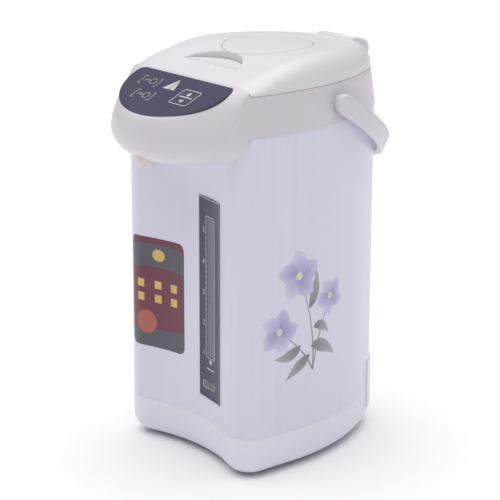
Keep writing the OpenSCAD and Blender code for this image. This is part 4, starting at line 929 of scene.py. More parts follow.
plate = {"r": 43.0, "skirt": 40.5, "low": 380.0, "wall": 3.0, "edge": 0.7, "rings": (0.4, 8, 16, 24, 32, 38)}


def makePlate():
    r, e, n, c = plate["r"], plate["edge"], 144, head["plateC"]
    ringsUp = [(q, 0) for q in plate["rings"]] + [(r - e, 0), (r - 0.3 * e, 0.3 * e), (r, e)]
    circle = [[polar(c, q, 2 * math.pi * i / n) for i in range(n)] for q, d in ringsUp]
    rings = [[(*p, domeZ(p[1]) - d) for p in ring] for ring, (q, d) in zip(circle, ringsUp)]
    skirt = [polar(c, plate["skirt"], 2 * math.pi * i / n) for i in range(n)]
    rings += [[(*p, plate["low"]) for p in ring] for ring in (circle[-1], skirt)]
    rings += [[(*p, domeZ(p[1]) - plate["wall"]) for p in ring] for ring in (skirt, circle[3], circle[0])]
    press = makePiece("pressPlate", *skin(rings, caps=True), lidIvory, 34.0)
    settle(press, "press", "white_plastic", "press_plate")


cover = {"low": 352.0, "flange": 368.6, "t": 0.8}


def makeInnerCover():
    c, low, top, t = head["plateC"], cover["low"], cover["flange"], cover["t"]
    line = [(0.3, low), (20, low), (40, low), (61, low), (63, low + 0.3), (68.2, low + 3.6), (69, low + 5)]
    line += [(69, top - 1.0), (69.4, top - 0.2), (70.2, top), (80, top), (80, top + t), (69, top + t)]
    line += [(68.2, top), (68.2, low + 5), (67.4, low + 4.2), (62.6, low + 1.1)]
    line += [(61, low + t), (0.3, low + t)]
    settle(lathe("innerCover", c, line, coverSteel, 160, 30.0), "lid", "stainless", "lid_inner_cover")
    line = [(74.5, top), (74.5, 367.2), (75.1, 366.6), (75.8, 366.4)]
    line += [(77.2, 366.4), (77.9, 366.6), (78.5, 367.2), (78.5, top)]
    settle(lathe("lidGasket", c, line, silicone, 160, 40.0), "lid", "silicone", "lid_gasket")


liner = {"r": 80.5, "t": 0.8, "floor": 64.0, "fillet": 5.0, "lipR": 83.0, "top": 350.0}


def makeVessel():
    r, t, low, f, lipR, top = (liner[k] for k in ("r", "t", "floor", "fillet", "lipR", "top"))
    mid = (r - f, low + f)
    line = [(0.3, low)] + [polar(mid, f, a) for a in spread(-math.pi / 2, 0, 12)]
    line += [(r, top - t), (r + t, top), (lipR, top), (lipR, top - t), (r + t, top - t)]
    line += [polar(mid, f + t, a) for a in spread(0, -math.pi / 2, 12)] + [(0.3, low - t)]
    settle(lathe("vesselLiner", head["plateC"], line, stainless, 160, 30.0), "pot", "stainless", "vessel")
    print("press plate, inner cover and vessel made")


# bellows and spring under the press plate

pump = {
    "low": 352.8, "bellowsR": 36.0, "folds": 5, "foldSteps": 12, "depth": 4.0, "skin": 1.2,
    "coilR": 19.0, "wire": 1.0, "turns": 5, "turnSteps": 44, "under": 3.3,
}


def stretched(obj, top, node):
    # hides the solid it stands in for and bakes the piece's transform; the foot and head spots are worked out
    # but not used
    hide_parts(node)
    y = head["plateC"][1]
    place((0, y, pump["low"]))
    place((0, y, top))
    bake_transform(obj)


def makePump():
    c, low, r = head["plateC"], pump["low"], pump["bellowsR"]
    top, n = domeZ(c[1] - r) - pump["under"], pump["folds"] * pump["foldSteps"]
    out = []
    for k in range(n + 1):
        wave = 0.5 + 0.5 * math.cos(2 * math.pi * k / pump["foldSteps"])
        out.append((r - pump["depth"] * wave, mix(low, top, k / n)))
    back = [(q - pump["skin"], z) for q, z in reversed(out)]
    stretched(lathe("bellowsSkin", c, out + back, silicone, 96, 50.0), top, "bellows")

    w, n = pump["wire"], pump["turns"] * pump["turnSteps"]
    top = domeZ(c[1] - pump["coilR"] - w) - pump["under"]
    rings = []
    for k in range(n + 1):
        t = k / n
        a, z = 2 * math.pi * pump["turns"] * t, mix(low + w, top - w, 0.25 * smooth(t) + 0.75 * t)
        wire = [polar((pump["coilR"], z), w, b) for b in spread(0, 2 * math.pi, 12, False)]
        rings.append([(*polar(c, q, a), h) for q, h in wire])
    coil = makePiece("plateCoil", *skin(rings, caps=True), plated, 50.0)
    stretched(coil, top, "plate_spring")
    print("pump made")


# carry bail

bail = {
    "t": 7.0, "w": 19.0, "endR": 64.0, "hang": math.radians(32), "space": 14.0, "edge": 2.4, "endProud": 0.25,
    "pegLen": 5.0, "pegR": 4.0,
}
bail["halfW"] = pivotWall + pivot["armGap"] + bail["t"]
bail["reach"] = (pot["back"] - pivot["y"] + bail["space"]) / math.cos(bail["hang"])


def makeBail():
    b = bail
    sideArc, endY = sideArcR(b["halfW"], b["reach"], b["endR"]), b["reach"] - b["endR"]
    cx = b["halfW"] - sideArc
    meet = math.atan2(endY, -cx)
    half = [((cx, 0), sideArc, a) for a in spread(0, meet, 40, False)]
    half += [((0, endY), b["endR"], a) for a in spread(meet, math.pi / 2, 30)]
    # corners of the band's section: depth from the outer face and place across its width
    e, hw = b["edge"], b["w"] / 2
    deep, section = b["t"] - e, []
    for k, (depth, side) in enumerate(((e, 1), (deep, 1), (deep, -1), (e, -1))):
        for a in spread(k * math.pi / 2, (k + 1) * math.pi / 2, 5):
            section.append((depth - e * math.cos(a), side * (hw - e) + e * math.sin(a)))
    line = [[polar(c, r - d, a) + (w,) for d, w in section] for c, r, a in half]
    line += [[(-x, y, w) for x, y, w in ring] for ring in line[-2::-1]]
    ch, sh = math.cos(b["hang"]), math.sin(b["hang"])
    rings = [[(x, pivot["y"] + y * ch + w * sh, pivot["z"] - y * sh + w * ch) for x, y, w in ring]
             for ring in line]
    band = makePiece("carryBail", *skin(rings, caps=True), bailIvory, 40.0)
    x0, x1 = b["halfW"] - b["t"] - b["endProud"], b["halfW"] + b["endProud"]
    tip, r = x0 - b["pegLen"] + 0.3, b["pegR"]
    disc = softDisc(x0, x1, b["w"] / 2 + b["endProud"], 0.2, 2.0)
    peg = [(tip, 0.2), (tip, r - 0.5), (tip + 0.5, r), (x0 + 1, r), (x0 + 1, 0.2)]
    ends = []
    for s in (-1, 1):
        for name, outline, n in (("end", disc, 72), ("peg", peg, 48)):
            turned = [(s * x, q) for x, q in outline]
            ends.append(barrelX(name, pivot["y"], pivot["z"], turned, bailIvory, n, 40.0))
    joined(band, *ends)
    settle(band, "bail", "white_plastic", "carry_handle")
    print("bail made")


# prints on the panel, the strip and the sheet


def flatPrism(name, loops, lift, mat, low=0.0, high=0.06):
    # closed outlines in a plane, lifted by the given mapping into a thin printed layer
    verts, faces = [], []
    for loop in loops:
        s, n = len(verts), len(loop)
        verts += [lift(x, y, low) for x, y in loop] + [lift(x, y, high) for x, y in loop]
        faces += [(s + i, s + (i + 1) % n, s + n + (i + 1) % n, s + n + i) for i in range(n)]
        faces += [tuple(s + i for i in range(n - 1, -1, -1)), tuple(s + n + i for i in range(n))]
    return makePiece(name, verts, faces, mat, 30.0)


def strokeLoop(points, w, closed=False):
    # ribbons along a line, one loop per stretch, with square ends that overlap at the corners
    loops = []
    pts = points + ([points[0]] if closed else [])
    for (x0, y0), (x1, y1) in zip(pts, pts[1:]):
        d = math.hypot(x1 - x0, y1 - y0)
        ux, uy = (x1 - x0) / d * w / 2, (y1 - y0) / d * w / 2
        loops.append([(x0 - ux + uy, y0 - uy - ux), (x1 + ux + uy, y1 + uy - ux),
                      (x1 + ux - uy, y1 + uy + ux), (x0 - ux - uy, y0 - uy + ux)])
    return loops


def roundedRect(cx, cy, w, h, r, n=6):
    pts = []
    for sx, sy, a0 in ((1, -1, -90), (1, 1, 0), (-1, 1, 90), (-1, -1, 180)):
        corner = (cx + sx * (w / 2 - r), cy + sy * (h / 2 - r))
        pts += [polar(corner, r, math.radians(a0 + 90 * k / n)) for k in range(n + 1)]
    return pts


def outlineBand(name, outer, inner, lift, mat, high=0.06):
    # printed line between two outlines
    edges = ((outer, 0.0), (outer, high), (inner, high), (inner, 0.0))
    rings = [[lift(*p, h) for p in edge] for edge, h in edges]
    return makePiece(name, *skin(rings, loop=True), mat, 30.0)


marks = {
    "stroke": 0.55, "lamps": [(-33.4, -16.6), (-20.5, -36.8)], "lampR": 3.5,
    "keyC": (28.0, -27.5), "key": (27.0, 24.0), "keyProud": 0.2,
}


def makePanelMarks():
    w, r = marks["stroke"], marks["lampR"]
    loops = []
    for cx, cy in marks["lamps"]:
        for s in (-1, 1):
            x = cx + s * 13 - 4
            end = x - s * 2.5
            loops += strokeLoop([(end, cy + 5.5), (x, cy + 5.5), (x, cy - 6.5), (end, cy - 6.5)], w)
        loops += strokeLoop([(cx - 12, cy - 1.6), (cx - 8, cy + 1.8), (cx - 6.5, cy - 1.6)], w)
    loops += [[(-13, -22), (-4, -5.5), (-4.2, -22)], [(-3.2, -22), (-3, -7), (4, -22)]]
    parts = [flatPrism("panelMarks", loops, onPanel, whiteInk)]
    for c in marks["lamps"]:
        circles = [[polar(c, q, 2 * math.pi * i / 40) for i in range(40)] for q in (r + w, r)]
        parts.append(outlineBand("lampRing", *circles, onPanel, whiteInk))
    joined(*parts)
    settle(parts[0], "pot", "dark_panel")

    kx, ky = marks["keyC"]
    kw, kh = marks["key"]

    def onKey(x, y, z):
        return onPanel(x, y, marks["keyProud"] + z)

    rims = [roundedRect(kx, ky, kw - g, kh - g, q) for g, q in ((1.2, 3.0), (2.8, 2.2))]
    rim = outlineBand("keyMarks", *rims, onKey, whiteInk)
    bar = flatPrism("keyBar", [roundedRect(kx, ky + 0.5, kw - 9, 1.4, 0.6)], onKey, whiteInk)
    drop = [(kx, ky + 8.4)] + [polar((kx, ky + 4.6), 2.1, math.radians(a)) for a in range(150, 391, 20)]
    drops = flatPrism("keyDrop", [drop], onKey, whiteInk)
    arrow = flatPrism("keyArrow", [[(kx - 3.4, ky - 4), (kx, ky - 8), (kx + 3.4, ky - 4)]], onKey, whiteInk)
    joined(rim, bar, drops, arrow)
    settle(rim, "key", "dark_panel")


def onDish(x, z, out):
    # front sheet: x across, measured along the dish
    a = x / dishR
    r = dishR - out
    return (r * math.sin(a), dishY + r * math.cos(a), z)


strip = {
    "x": 32.0, "w": 40.0, "low": 64.0, "top": 262.0, "proud": 0.6,
    "numberX": 20.5, "numberZ": [230.0, 199.0, 169.0, 139.0, 109.0], "numberSize": 7.0,
    "tickX": (24.0, 25.6), "ticks": 25, "tickFrom": 109.0, "tickTo": 239.0, "tickT": 0.5,
}


def numberMesh(text, size):
    curve = bpy.data.curves.new("number", "FONT")
    curve.body, curve.size, curve.align_x, curve.align_y = text, size, "CENTER", "CENTER"
    obj = bpy.data.objects.new("number", curve)
    bpy.context.scene.collection.objects.link(obj)
    bpy.context.view_layer.update()
    mesh = bpy.data.meshes.new_from_object(obj.evaluated_get(bpy.context.evaluated_depsgraph_get()))
    verts = [(v.co.x, v.co.y) for v in mesh.vertices]
    faces = [tuple(p.vertices) for p in mesh.polygons]
    bpy.data.objects.remove(obj, do_unlink=True)
    return verts, faces


def onStrip(x, z, h):
    return onDish(x, z, strip["proud"] + h)


def numberPiece(name, text, z):
    # a digit's flat faces, thickened into a printed layer
    flat, faces = numberMesh(text, strip["numberSize"])
    n = len(flat)
    verts = [onStrip(strip["numberX"] + x, z + y, h) for h in (0.06, 0.0) for x, y in flat]
    edges = {}
    for f in faces:
        for a, b in zip(f, f[1:] + f[:1]):
            edges.setdefault((min(a, b), max(a, b)), []).append((a, b))
    solid = faces + [tuple(n + i for i in reversed(f)) for f in faces]
    solid += [(b, a, n + a, n + b) for e in edges.values() if len(e) == 1 for a, b in e]
    return makePiece(name, verts, solid, whiteInk, 30.0)


def makeStripMarks():
    parts = [numberPiece("mark" if k else "levelMarks", str(5 - k), z)
             for k, z in enumerate(strip["numberZ"])]
    (x0, x1), (z0, z1) = body["windowX"], body["windowZ"]
    cx, cz = (x0 + x1) / 2, (z0 + z1) / 2
    rims = [roundedRect(cx, cz, x1 - x0 + g, z1 - z0 + g, r, 4) for g, r in ((3.2, 1.6), (1.8, 1.0))]
    parts.append(outlineBand("windowLine", *rims, onStrip, whiteInk))
    edgeL, edgeR = (dishR * math.asin((strip["x"] + q * strip["w"] / 2) / dishR) for q in (-1, 1))
    mid, wide, tall = (edgeL + edgeR) / 2, edgeR - edgeL - 0.3, strip["top"] - strip["low"] - 0.3
    rims = [roundedRect(mid, (strip["low"] + strip["top"]) / 2, wide - g, tall - g, 1.2) for g in (0.0, 1.4)]
    parts.append(outlineBand("stripLine", *rims, onStrip, whiteInk))
    tri = [(cx, 98.5), (cx - 3.2, 103.6), (cx + 3.2, 103.6)]
    bar = strokeLoop([(cx - 7, 94.5), (cx + 7, 94.5)], 1.0)
    parts.append(flatPrism("lowMark", [tri] + bar, onStrip, whiteInk))
    rims = [roundedRect(strip["x"] - 2, 77.5, 22 - g, 7.0 - g, r) for g, r in ((0.0, 2.0), (1.4, 1.4))]
    parts.append(flatPrism("footMark", rims[:1], onStrip, slateInk))
    parts.append(outlineBand("footLine", *rims, onStrip, whiteInk, 0.1))
    joined(*parts)
    settle(parts[0], "pot", "dark_panel")
    settle(levelTicks(), "pot", "dark_panel")
    print("marks made")


def nodeTree(name, inputs):
    tree = bpy.data.node_groups.new(name, "GeometryNodeTree")
    ids = {}
    for label, kind, value in inputs:
        s = tree.interface.new_socket(label, in_out="INPUT", socket_type=kind)
        if value is not None:
            s.default_value = value
        ids[label] = s.identifier
    tree.interface.new_socket("Geometry", in_out="OUTPUT", socket_type="NodeSocketGeometry")
    return tree, ids


def treeNode(tree, kind, links=None, **settings):
    n = tree.nodes.new(kind)
    for key, value in settings.items():
        setattr(n, key, value)
    for key, value in (links or {}).items():
        if isinstance(value, bpy.types.NodeSocket):
            tree.links.new(value, n.inputs[key])
        else:
            n.inputs[key].default_value = value
    return n


def grown(name, tree, values, sharp=32.0):
    # runs a node tree on an empty mesh and keeps the plain result
    obj = bpy.data.objects.new(name, bpy.data.meshes.new(name))
    bpy.context.scene.collection.objects.link(obj)
    mod = obj.modifiers.new("grow", "NODES")
    mod.node_group = tree
    for key, value in values.items():
        mod[key] = value
    return applyMods(obj, sharp)


def levelTicks():
    # small printed bars up the strip, beside the window
    inputs = [("Count", "NodeSocketInt", 5), ("Pitch", "NodeSocketFloat", 0.005),
              ("Bar", "NodeSocketVector", None), ("Start", "NodeSocketVector", None)]
    tree, ids = nodeTree("levelTickRow", inputs)
    inp, outp = tree.nodes.new("NodeGroupInput"), tree.nodes.new("NodeGroupOutput")
    step = treeNode(tree, "ShaderNodeCombineXYZ", {2: inp.outputs["Pitch"]})
    ends = {"Count": inp.outputs["Count"], "Start Location": inp.outputs["Start"], "Offset": step.outputs[0]}
    row = treeNode(tree, "GeometryNodeMeshLine", ends)
    bar = treeNode(tree, "GeometryNodeMeshCube", {"Size": inp.outputs["Bar"]})
    each = {"Points": row.outputs[0], "Instance": bar.outputs[0]}
    spots = treeNode(tree, "GeometryNodeInstanceOnPoints", each)
    real = treeNode(tree, "GeometryNodeRealizeInstances", {0: spots.outputs[0]})
    paint = treeNode(tree, "GeometryNodeSetMaterial", {"Geometry": real.outputs[0], "Material": whiteInk})
    tree.links.new(paint.outputs[0], outp.inputs[0])
    (x0, x1), thick = strip["tickX"], strip["tickT"] * mm
    values = {
        "Count": strip["ticks"], "Bar": ((x1 - x0) * mm, thick, thick),
        "Pitch": (strip["tickTo"] - strip["tickFrom"]) / (strip["ticks"] - 1) * mm,
        "Start": place(onStrip((x0 + x1) / 2, strip["tickFrom"], 0.02)),
    }
    return grown("levelTicks", tree, {ids[k]: v for k, v in values.items()})


def onSide(u, z, out):
    # right side of the sheet: u runs back from the widest point
    if u <= 0:
        return (pot["halfW"] + out, u, z)
    a = u / sideR
    return (sideX + (sideR + out) * math.cos(a), (sideR + out) * math.sin(a), z)


def bladeStrip(spine, widths):
    # left and right edges of a leaf along a bent spine
    left, right = [], []
    for i, (x, y) in enumerate(spine):
        x0, y0 = spine[max(0, i - 1)]
        x1, y1 = spine[min(len(spine) - 1, i + 1)]
        d = math.hypot(x1 - x0, y1 - y0) or 1.0
        nx, ny = -(y1 - y0) / d, (x1 - x0) / d
        left.append((x + nx * widths[i] / 2, y + ny * widths[i] / 2))
        right.append((x - nx * widths[i] / 2, y - ny * widths[i] / 2))
    return left, right


def bent(p0, p1, p2, n=16):
    out = []
    for i in range(n + 1):
        t = i / n
        out.append(tuple((1 - t) ** 2 * a + 2 * t * (1 - t) * b + t * t * c for a, b, c in zip(p0, p1, p2)))
    return out


def leafPiece(name, spine, width, mat, lift, thick=0.08, taper=1.0, base=0.0):
    n = len(spine) - 1
    swell = [math.sin(math.pi * min(1.0, (i / n) ** 0.8) ** taper) for i in range(n)]
    widths = [max(0.15, width * (base + (1 - base) * q)) for q in swell] + [0.15]
    left, right = bladeStrip(spine, widths)
    verts, faces = [], []
    for l, s, r in zip(left, spine, right):
        verts += [lift(*l, -0.1), lift(*l, thick), lift(*s, thick), lift(*r, thick), lift(*r, -0.1)]
    fade = [i / n if j == 2 else min(1.0, i / n + 0.25) for i in range(n + 1) for j in range(5)]
    for i in range(n):
        a, b = i * 5, (i + 1) * 5
        faces += [(a + j, a + (j + 1) % 5, b + (j + 1) % 5, b + j) for j in range(5)]
    faces += [(0, 1, 2, 3, 4), tuple(n * 5 + j for j in (4, 3, 2, 1, 0))]
    return makePiece(name, verts, faces, mat, 60.0, fade=fade)


def dotPiece(name, cx, cy, r, mat, lift, thick=0.1, squash=1.0, n=24):
    verts = [lift(cx, cy, thick)]
    for h, k in ((thick, 0.25), (thick, 0.5), (thick, 0.75), (thick, 1.0), (-0.1, 1.0)):
        for i in range(n):
            x, y = polar((0, 0), r * k, 2 * math.pi * i / n)
            verts.append(lift(cx + x, cy + y * squash, h))
    faces = [(0, 1 + i, 1 + (i + 1) % n) for i in range(n)]
    for q in range(1, 1 + 4 * n, n):
        faces += [(q + i, q + n + i, q + n + (i + 1) % n, q + (i + 1) % n) for i in range(n)]
    faces.append(tuple(1 + 4 * n + i for i in range(n - 1, -1, -1)))
    return makePiece(name, verts, faces, mat, 60.0)


sprig = {
    "root": (20.0, 96.0), "stemW": 1.5, "petals": 5,
    "stems": [((24.0, 140.0), (2.0, 192.0)), ((26.0, 128.0), (44.0, 164.0)), ((12.0, 116.0), (-22.0, 142.0))],
    "blossoms": [(26.0, 12), (20.0, 40), (23.0, 64)],
    "blades": [
        ((21, 138), (34, 142), (42, 128), 10.0), ((17.5, 120), (34, 122), (52, 104), 13.0),
        ((15, 158), (26, 172), (24, 196), 11.0), ((4, 124), (-8, 112), (-28, 116), 11.0),
        ((16, 112), (2, 104), (-14, 92), 11.0),
    ],
}


def makeSprig():
    # open blossoms on the right side
    stems = [bent(sprig["root"], *ends) for ends in sprig["stems"]]
    parts = []
    for k, s in enumerate(stems):
        parts.append(leafPiece("stem" if k else "sideSprig", s, sprig["stemW"], leafInk, onSide, base=0.8))
    for p0, p1, p2, w in sprig["blades"]:
        parts.append(leafPiece("blade", bent(p0, p1, p2), w, leafInk, onSide))
    for stem, (size, turn) in zip(stems, sprig["blossoms"]):
        mid = stem[-1]
        for k in range(sprig["petals"]):
            a = 360 / sprig["petals"] * k + turn
            bend, tip = polar(mid, 0.5 * size, math.radians(a)), polar(mid, size, math.radians(a + 14))
            spine, ink = bent(mid, bend, tip), (lilacInk, palePetal)[k % 2]
            parts.append(leafPiece("petal", spine, 0.78 * size, ink, onSide, 0.12 + 0.02 * k, 1.25))
        parts.append(dotPiece("core", *mid, 0.15 * size, coreInk, onSide, 0.26))
    joined(*parts)
    settle(parts[0], "pot", "printed_steel")


tag = {"x": (-79.0, -12.0), "z": (96.0, 207.0), "corner": 7.0, "steps": 40, "thick": 0.12, "ply": 0.04}


def onFront(x, z, out):
    # front sheet by plan x, over the dish and round the left corner
    if abs(x) <= cornerX - pot["cornerR"] * math.cos(dishA):
        return (x, dishY + math.sqrt((dishR - out) ** 2 - x * x), z)
    r = pot["cornerR"] + out
    return (x, cornerY - math.sqrt(max(0.0, r * r - (abs(x) - cornerX) ** 2)), z)


def nick(x):
    # height that a round corner of the sticker takes off
    c = tag["corner"]
    d = min(x - tag["x"][0], tag["x"][1] - x)
    return 0.0 if d >= c else c - math.sqrt(max(0.0, c * c - (c - d) ** 2))


def sheetGrid(name, x0, x1, low, high, mat, out):
    xs = spread(x0, x1, tag["steps"])
    verts, faces = [], []
    for x in xs:
        for z in (low(x), high(x)):
            verts += [onFront(x, z, -0.1), onFront(x, z, out)]
    for i in range(len(xs) - 1):
        a, b = i * 4, (i + 1) * 4
        faces += [(a + 1, b + 1, b + 3, a + 3), (a, a + 2, b + 2, b)]
        faces += [(a, b, b + 1, a + 1), (a + 2, a + 3, b + 3, b + 2)]
    last = (len(xs) - 1) * 4
    faces += [(0, 1, 3, 2), (last, last + 2, last + 3, last + 1)]
    return makePiece(name, verts, faces, mat, 60.0)


def bow(x):
    return 0.0022 * (x + 45) ** 2


def makeSticker():
    # plain sticker at the left of the front
    (x0, x1), (z0, z1), t = tag["x"], tag["z"], tag["thick"]
    ply = t + tag["ply"]
    sheet = sheetGrid("frontSticker", x0, x1, lambda x: z0 + nick(x), lambda x: z1 - nick(x), maroonInk, t)
    band = sheetGrid("stickerBand", x0 + 0.3, x1 - 0.3, lambda x: 178 - bow(x),
                     lambda x: min(z1 - nick(x) - 0.3, 201 - bow(x)), slateInk, ply)
    foot = sheetGrid("stickerFoot", x0 + 0.3, x1 - 0.3, lambda x: z0 + nick(x) + 0.3,
                     lambda x: 112 + 0.08 * (x - x0), slateInk, ply)
    bits = [dotPiece("spot", x, z, r, ink, onFront, t + 2 * tag["ply"], squash) for x, z, r, ink, squash in
            ((-45, 190, 7.5, amberInk, 0.8), (-60, 121, 12.0, roseInk, 1.0))]
    for low in (156, 142):
        for x in (-70, -50, -30):
            bits.append(sheetGrid("square", x, x + 8, lambda x: low, lambda x: low + 8, amberInk, ply))
    joined(sheet, band, foot, *bits)
    settle(sheet, "pot", "printed_steel")
    print("prints made")


# inlet, feet and screws

inlet = {
    "halfW": 57.0, "low": 22.5, "top": 70.0, "proud": 1.5, "sunk": 3.0, "boxW": 34.0, "boxZ": (33.0, 67.0),
    "boxY": (128.5, 147.0), "cavity": (22.0, 11.0), "floor": 140.5, "mid": 50.0,
}


def makeInlet():
    i = inlet
    cols = []
    for col in bodyCols:
        p, q = bodyPt(col, -i["proud"]), bodyPt(col, i["sunk"])
        if p[1] > 100 and abs(bodyPt(col, 0)[0]) < i["halfW"] + 0.11:
            y = min(q[1], i["boxY"][1] - 1.0)
            cols.append([(*p, i["low"]), (*p, i["top"]), (q[0], y, i["top"]), (q[0], y, i["low"])])
    plate = makePiece("powerInlet", *skin(cols, caps=True), inletMould)
    y0, y1 = i["boxY"]
    z0, z1 = i["boxZ"]
    box = extruded("inletBox", [(y0, z0), (y1, z0), (y1, z1), (y0, z1)], -i["boxW"], i["boxW"], inletMould)
    w, h = i["cavity"]
    loop = roundedRect(0, i["mid"], 2 * w, 2 * h, 4.0, 8)
    rings = [[(x, y, z) for x, z in loop] for y in (i["floor"], 170.0)]
    for piece in (plate, box):
        carve(piece, [makePiece("cavityCut", *skin(rings, caps=True), inletMould)])
    bevelled(plate, 0.9, 3)
    joined(plate, box)
    settle(plate, "pot", "beige_plastic", "inlet_socket")


screws = {"spots": [(-62.0, 6.0), (62.0, 6.0), (-50.0, 78.0), (50.0, 78.0)], "headR": 3.0, "low": 2.0}


def screwPart(name, rings):
    # closed loft about the origin, before the screws are set out
    verts, faces = skin(rings, caps=True)
    mesh = bpy.data.meshes.new(name)
    mesh.from_pydata([tuple(v * mm for v in p) for p in verts], [], faces)
    mesh.materials.append(plated)
    obj = bpy.data.objects.new(name, mesh)
    bpy.context.scene.collection.objects.link(obj)
    finishMesh(obj, 40.0)
    return obj


def crossHead():
    # pan head with a cross recess, facing down
    n, r = 24, screws["headR"]
    line = [(r, 1.2), (r, 0.5), (r * 0.8, 0.15), (r * 0.4, 0.0)]
    rings = [[(*polar((0, 0), q, 2 * math.pi * i / n), z) for i in range(n)] for q, z in line]
    pan = screwPart("crossHead", rings)
    arms = []
    for x, y in ((1.9, 0.42), (0.42, 1.9)):
        loop = [(-x, -y), (x, -y), (x, y), (-x, y)]
        arms.append(screwPart("arm", [[(*p, z) for p in loop] for z in (-1.0, 0.75)]))
    return carve(pan, arms, 40.0)


def makeScrews():
    headObj = crossHead()
    lengths = ("HalfFront", "HalfBack", "FrontY", "BackY", "Height")
    inputs = [("Head", "NodeSocketObject", None)] + [(k, "NodeSocketFloat", 0.0) for k in lengths]
    tree, ids = nodeTree("bottomScrewSet", inputs)
    inp, outp = tree.nodes.new("NodeGroupInput"), tree.nodes.new("NodeGroupOutput")
    shape = treeNode(tree, "GeometryNodeObjectInfo", {"Object": inp.outputs["Head"]})
    join = tree.nodes.new("GeometryNodeJoinGeometry")
    for half, y in (("HalfFront", "FrontY"), ("HalfBack", "BackY")):
        flip, step = (treeNode(tree, "ShaderNodeMath", {0: inp.outputs[half], 1: q}, operation="MULTIPLY")
                      for q in (-1.0, 2.0))
        corner = {0: flip.outputs[0], 1: inp.outputs[y], 2: inp.outputs["Height"]}
        start = treeNode(tree, "ShaderNodeCombineXYZ", corner)
        move = treeNode(tree, "ShaderNodeCombineXYZ", {0: step.outputs[0]})
        ends = {"Count": 2, "Start Location": start.outputs[0], "Offset": move.outputs[0]}
        row = treeNode(tree, "GeometryNodeMeshLine", ends)
        tree.links.new(row.outputs[0], join.inputs[0])
    spots = {"Points": join.outputs[0], "Instance": shape.outputs["Geometry"]}
    put = treeNode(tree, "GeometryNodeInstanceOnPoints", spots)
    real = treeNode(tree, "GeometryNodeRealizeInstances", {0: put.outputs[0]})
    paint = treeNode(tree, "GeometryNodeSetMaterial", {"Geometry": real.outputs[0], "Material": plated})
    tree.links.new(paint.outputs[0], outp.inputs[0])
    s = screws["spots"]
    sizes = (s[1][0], s[3][0], s[0][1] + shiftY, s[2][1] + shiftY, screws["low"])
    values = {ids["Head"]: headObj}
    values.update({ids[k]: v * mm for k, v in zip(lengths, sizes)})
    row = grown("bottomScrews", tree, values, 40.0)
    bpy.data.objects.remove(headObj, do_unlink=True)
    settle(row, "pot", "screw_steel", "bottom_screws")


feet = {"spots": [(-56.0, -24.0), (56.0, -24.0), (-38.0, 100.0), (38.0, 100.0)]}
feet["line"] = [
    (0.2, 2.0), (0.2, 0.5), (3.6, 0.5), (4.2, 0.1), (4.6, 0.0), (6.8, 0.0), (7.5, 0.2),
    (8.0, 0.7), (8.0, 2.0),
]


def makeFeet():
    parts = []
    for k, c in enumerate(feet["spots"]):
        parts.append(lathe("foot" if k else "rubberFeet", c, feet["line"], footRubber, 48, 40.0))
    joined(*parts)
    settle(parts[0], "pot", "dark_rubber", "rubber_feet")
    print("inlet, screws and feet made")


makeBody()
makeHead()
makeChin()
makeLid()
makePlate()
makeInnerCover()
makeVessel()
makePump()
makeBail()
makePanelMarks()
makeStripMarks()
makeSprig()
makeSticker()
makeInlet()
makeScrews()
makeFeet()

# finishes for the solids that stay as they are

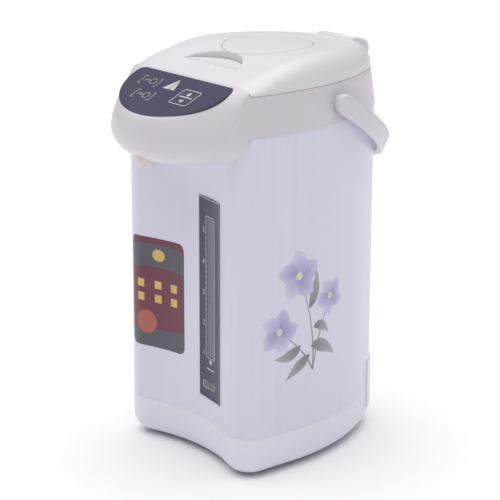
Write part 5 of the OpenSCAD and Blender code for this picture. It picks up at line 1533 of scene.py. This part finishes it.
finishes = {
    "bottom_plate": greyMould, "panel_frame": darkMould, "panel_overlay": panelFilm,
    "indicator_lenses": lensMould, "control_board": boardGreen, "level_strip": stripFilm,
    "level_window": windowClear, "level_tube": silicone, "vessel_seal": silicone, "heater_plate": castAlu,
    "band_heater": micaWrap, "thermostats": darkMould, "pump_housing": greyMould, "pump_motor": motorSteel,
    "pump_impeller": darkMould, "suction_hose": silicone, "delivery_hose": silicone, "outlet_pipe": silicone,
    "socket_pins": pinBrass, "power_board": boardGreen, "hinge_pin": plated, "lid_screws": plated,
    "lid_latch": lidIvory, "dispense_key": keyFilm,
}
for node, mat in finishes.items():
    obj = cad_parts[node]
    if obj.material_slots:
        for s in obj.material_slots:
            s.material = mat
    else:
        obj.data.materials.append(mat)
print("finishes set")

# stage, light and camera

stage = {
    "floor": 8.0, "sky": 0.31, "overhead": 2.62, "spread": math.radians(82),
    "lean": (math.radians(1), math.radians(-4), 0),
}


def makeStage():
    p = Paint("paleFloor")
    p.feed("Base Color", p.blend(p.noise(p.coords(), 3.0, 2.0), lin(250, 250, 251), lin(253, 253, 254)))
    p.feed("Roughness", p.noise(p.coords(), 40.0) * 0.1 + 0.75)
    n, r = 64, stage["floor"]
    verts = [(0, 0, 0)] + [(*polar((0, 0), r, 2 * math.pi * i / n), 0) for i in range(n)]
    mesh = bpy.data.meshes.new("floor")
    mesh.from_pydata(verts, [], [(0, 1 + i, 1 + (i + 1) % n) for i in range(n)])
    mesh.materials.append(p.mat)
    floor = bpy.data.objects.new("floor", mesh)
    bpy.context.scene.collection.objects.link(floor)

    world = bpy.data.worlds.new("studio")
    bpy.context.scene.world = world
    world.use_nodes = True
    world.node_tree.nodes["Background"].inputs[0].default_value = (1.0, 1.0, 1.0, 1.0)
    world.node_tree.nodes["Background"].inputs[1].default_value = stage["sky"]
    light = bpy.data.lights.new("overhead", "SUN")
    light.energy, light.angle = stage["overhead"], stage["spread"]
    lamp = bpy.data.objects.new("overhead", light)
    lamp.location, lamp.rotation_euler = (0, 0, 3), stage["lean"]
    bpy.context.scene.collection.objects.link(lamp)
    bpy.context.scene.view_settings.view_transform = "Standard"


view = {"at": (1419.87, -1143.29, 725.69), "to": (0.0, 0.0, 195.87), "lens": 141.945, "shift": 0.0341}


def makeCamera():
    data = bpy.data.cameras.new("photoView")
    data.sensor_width, data.lens, data.shift_x = 36.0, view["lens"], view["shift"]
    data.clip_start, data.clip_end = 0.05, 50.0
    cam = bpy.data.objects.new("photoView", data)
    at, to = Vector(place(view["at"])), Vector(place(view["to"]))
    cam.location = at
    cam.rotation_euler = (to - at).to_track_quat("-Z", "Y").to_euler()
    bpy.context.scene.collection.objects.link(cam)
    bpy.context.scene.camera = cam


makeStage()
makeCamera()
print("stage and camera ready")
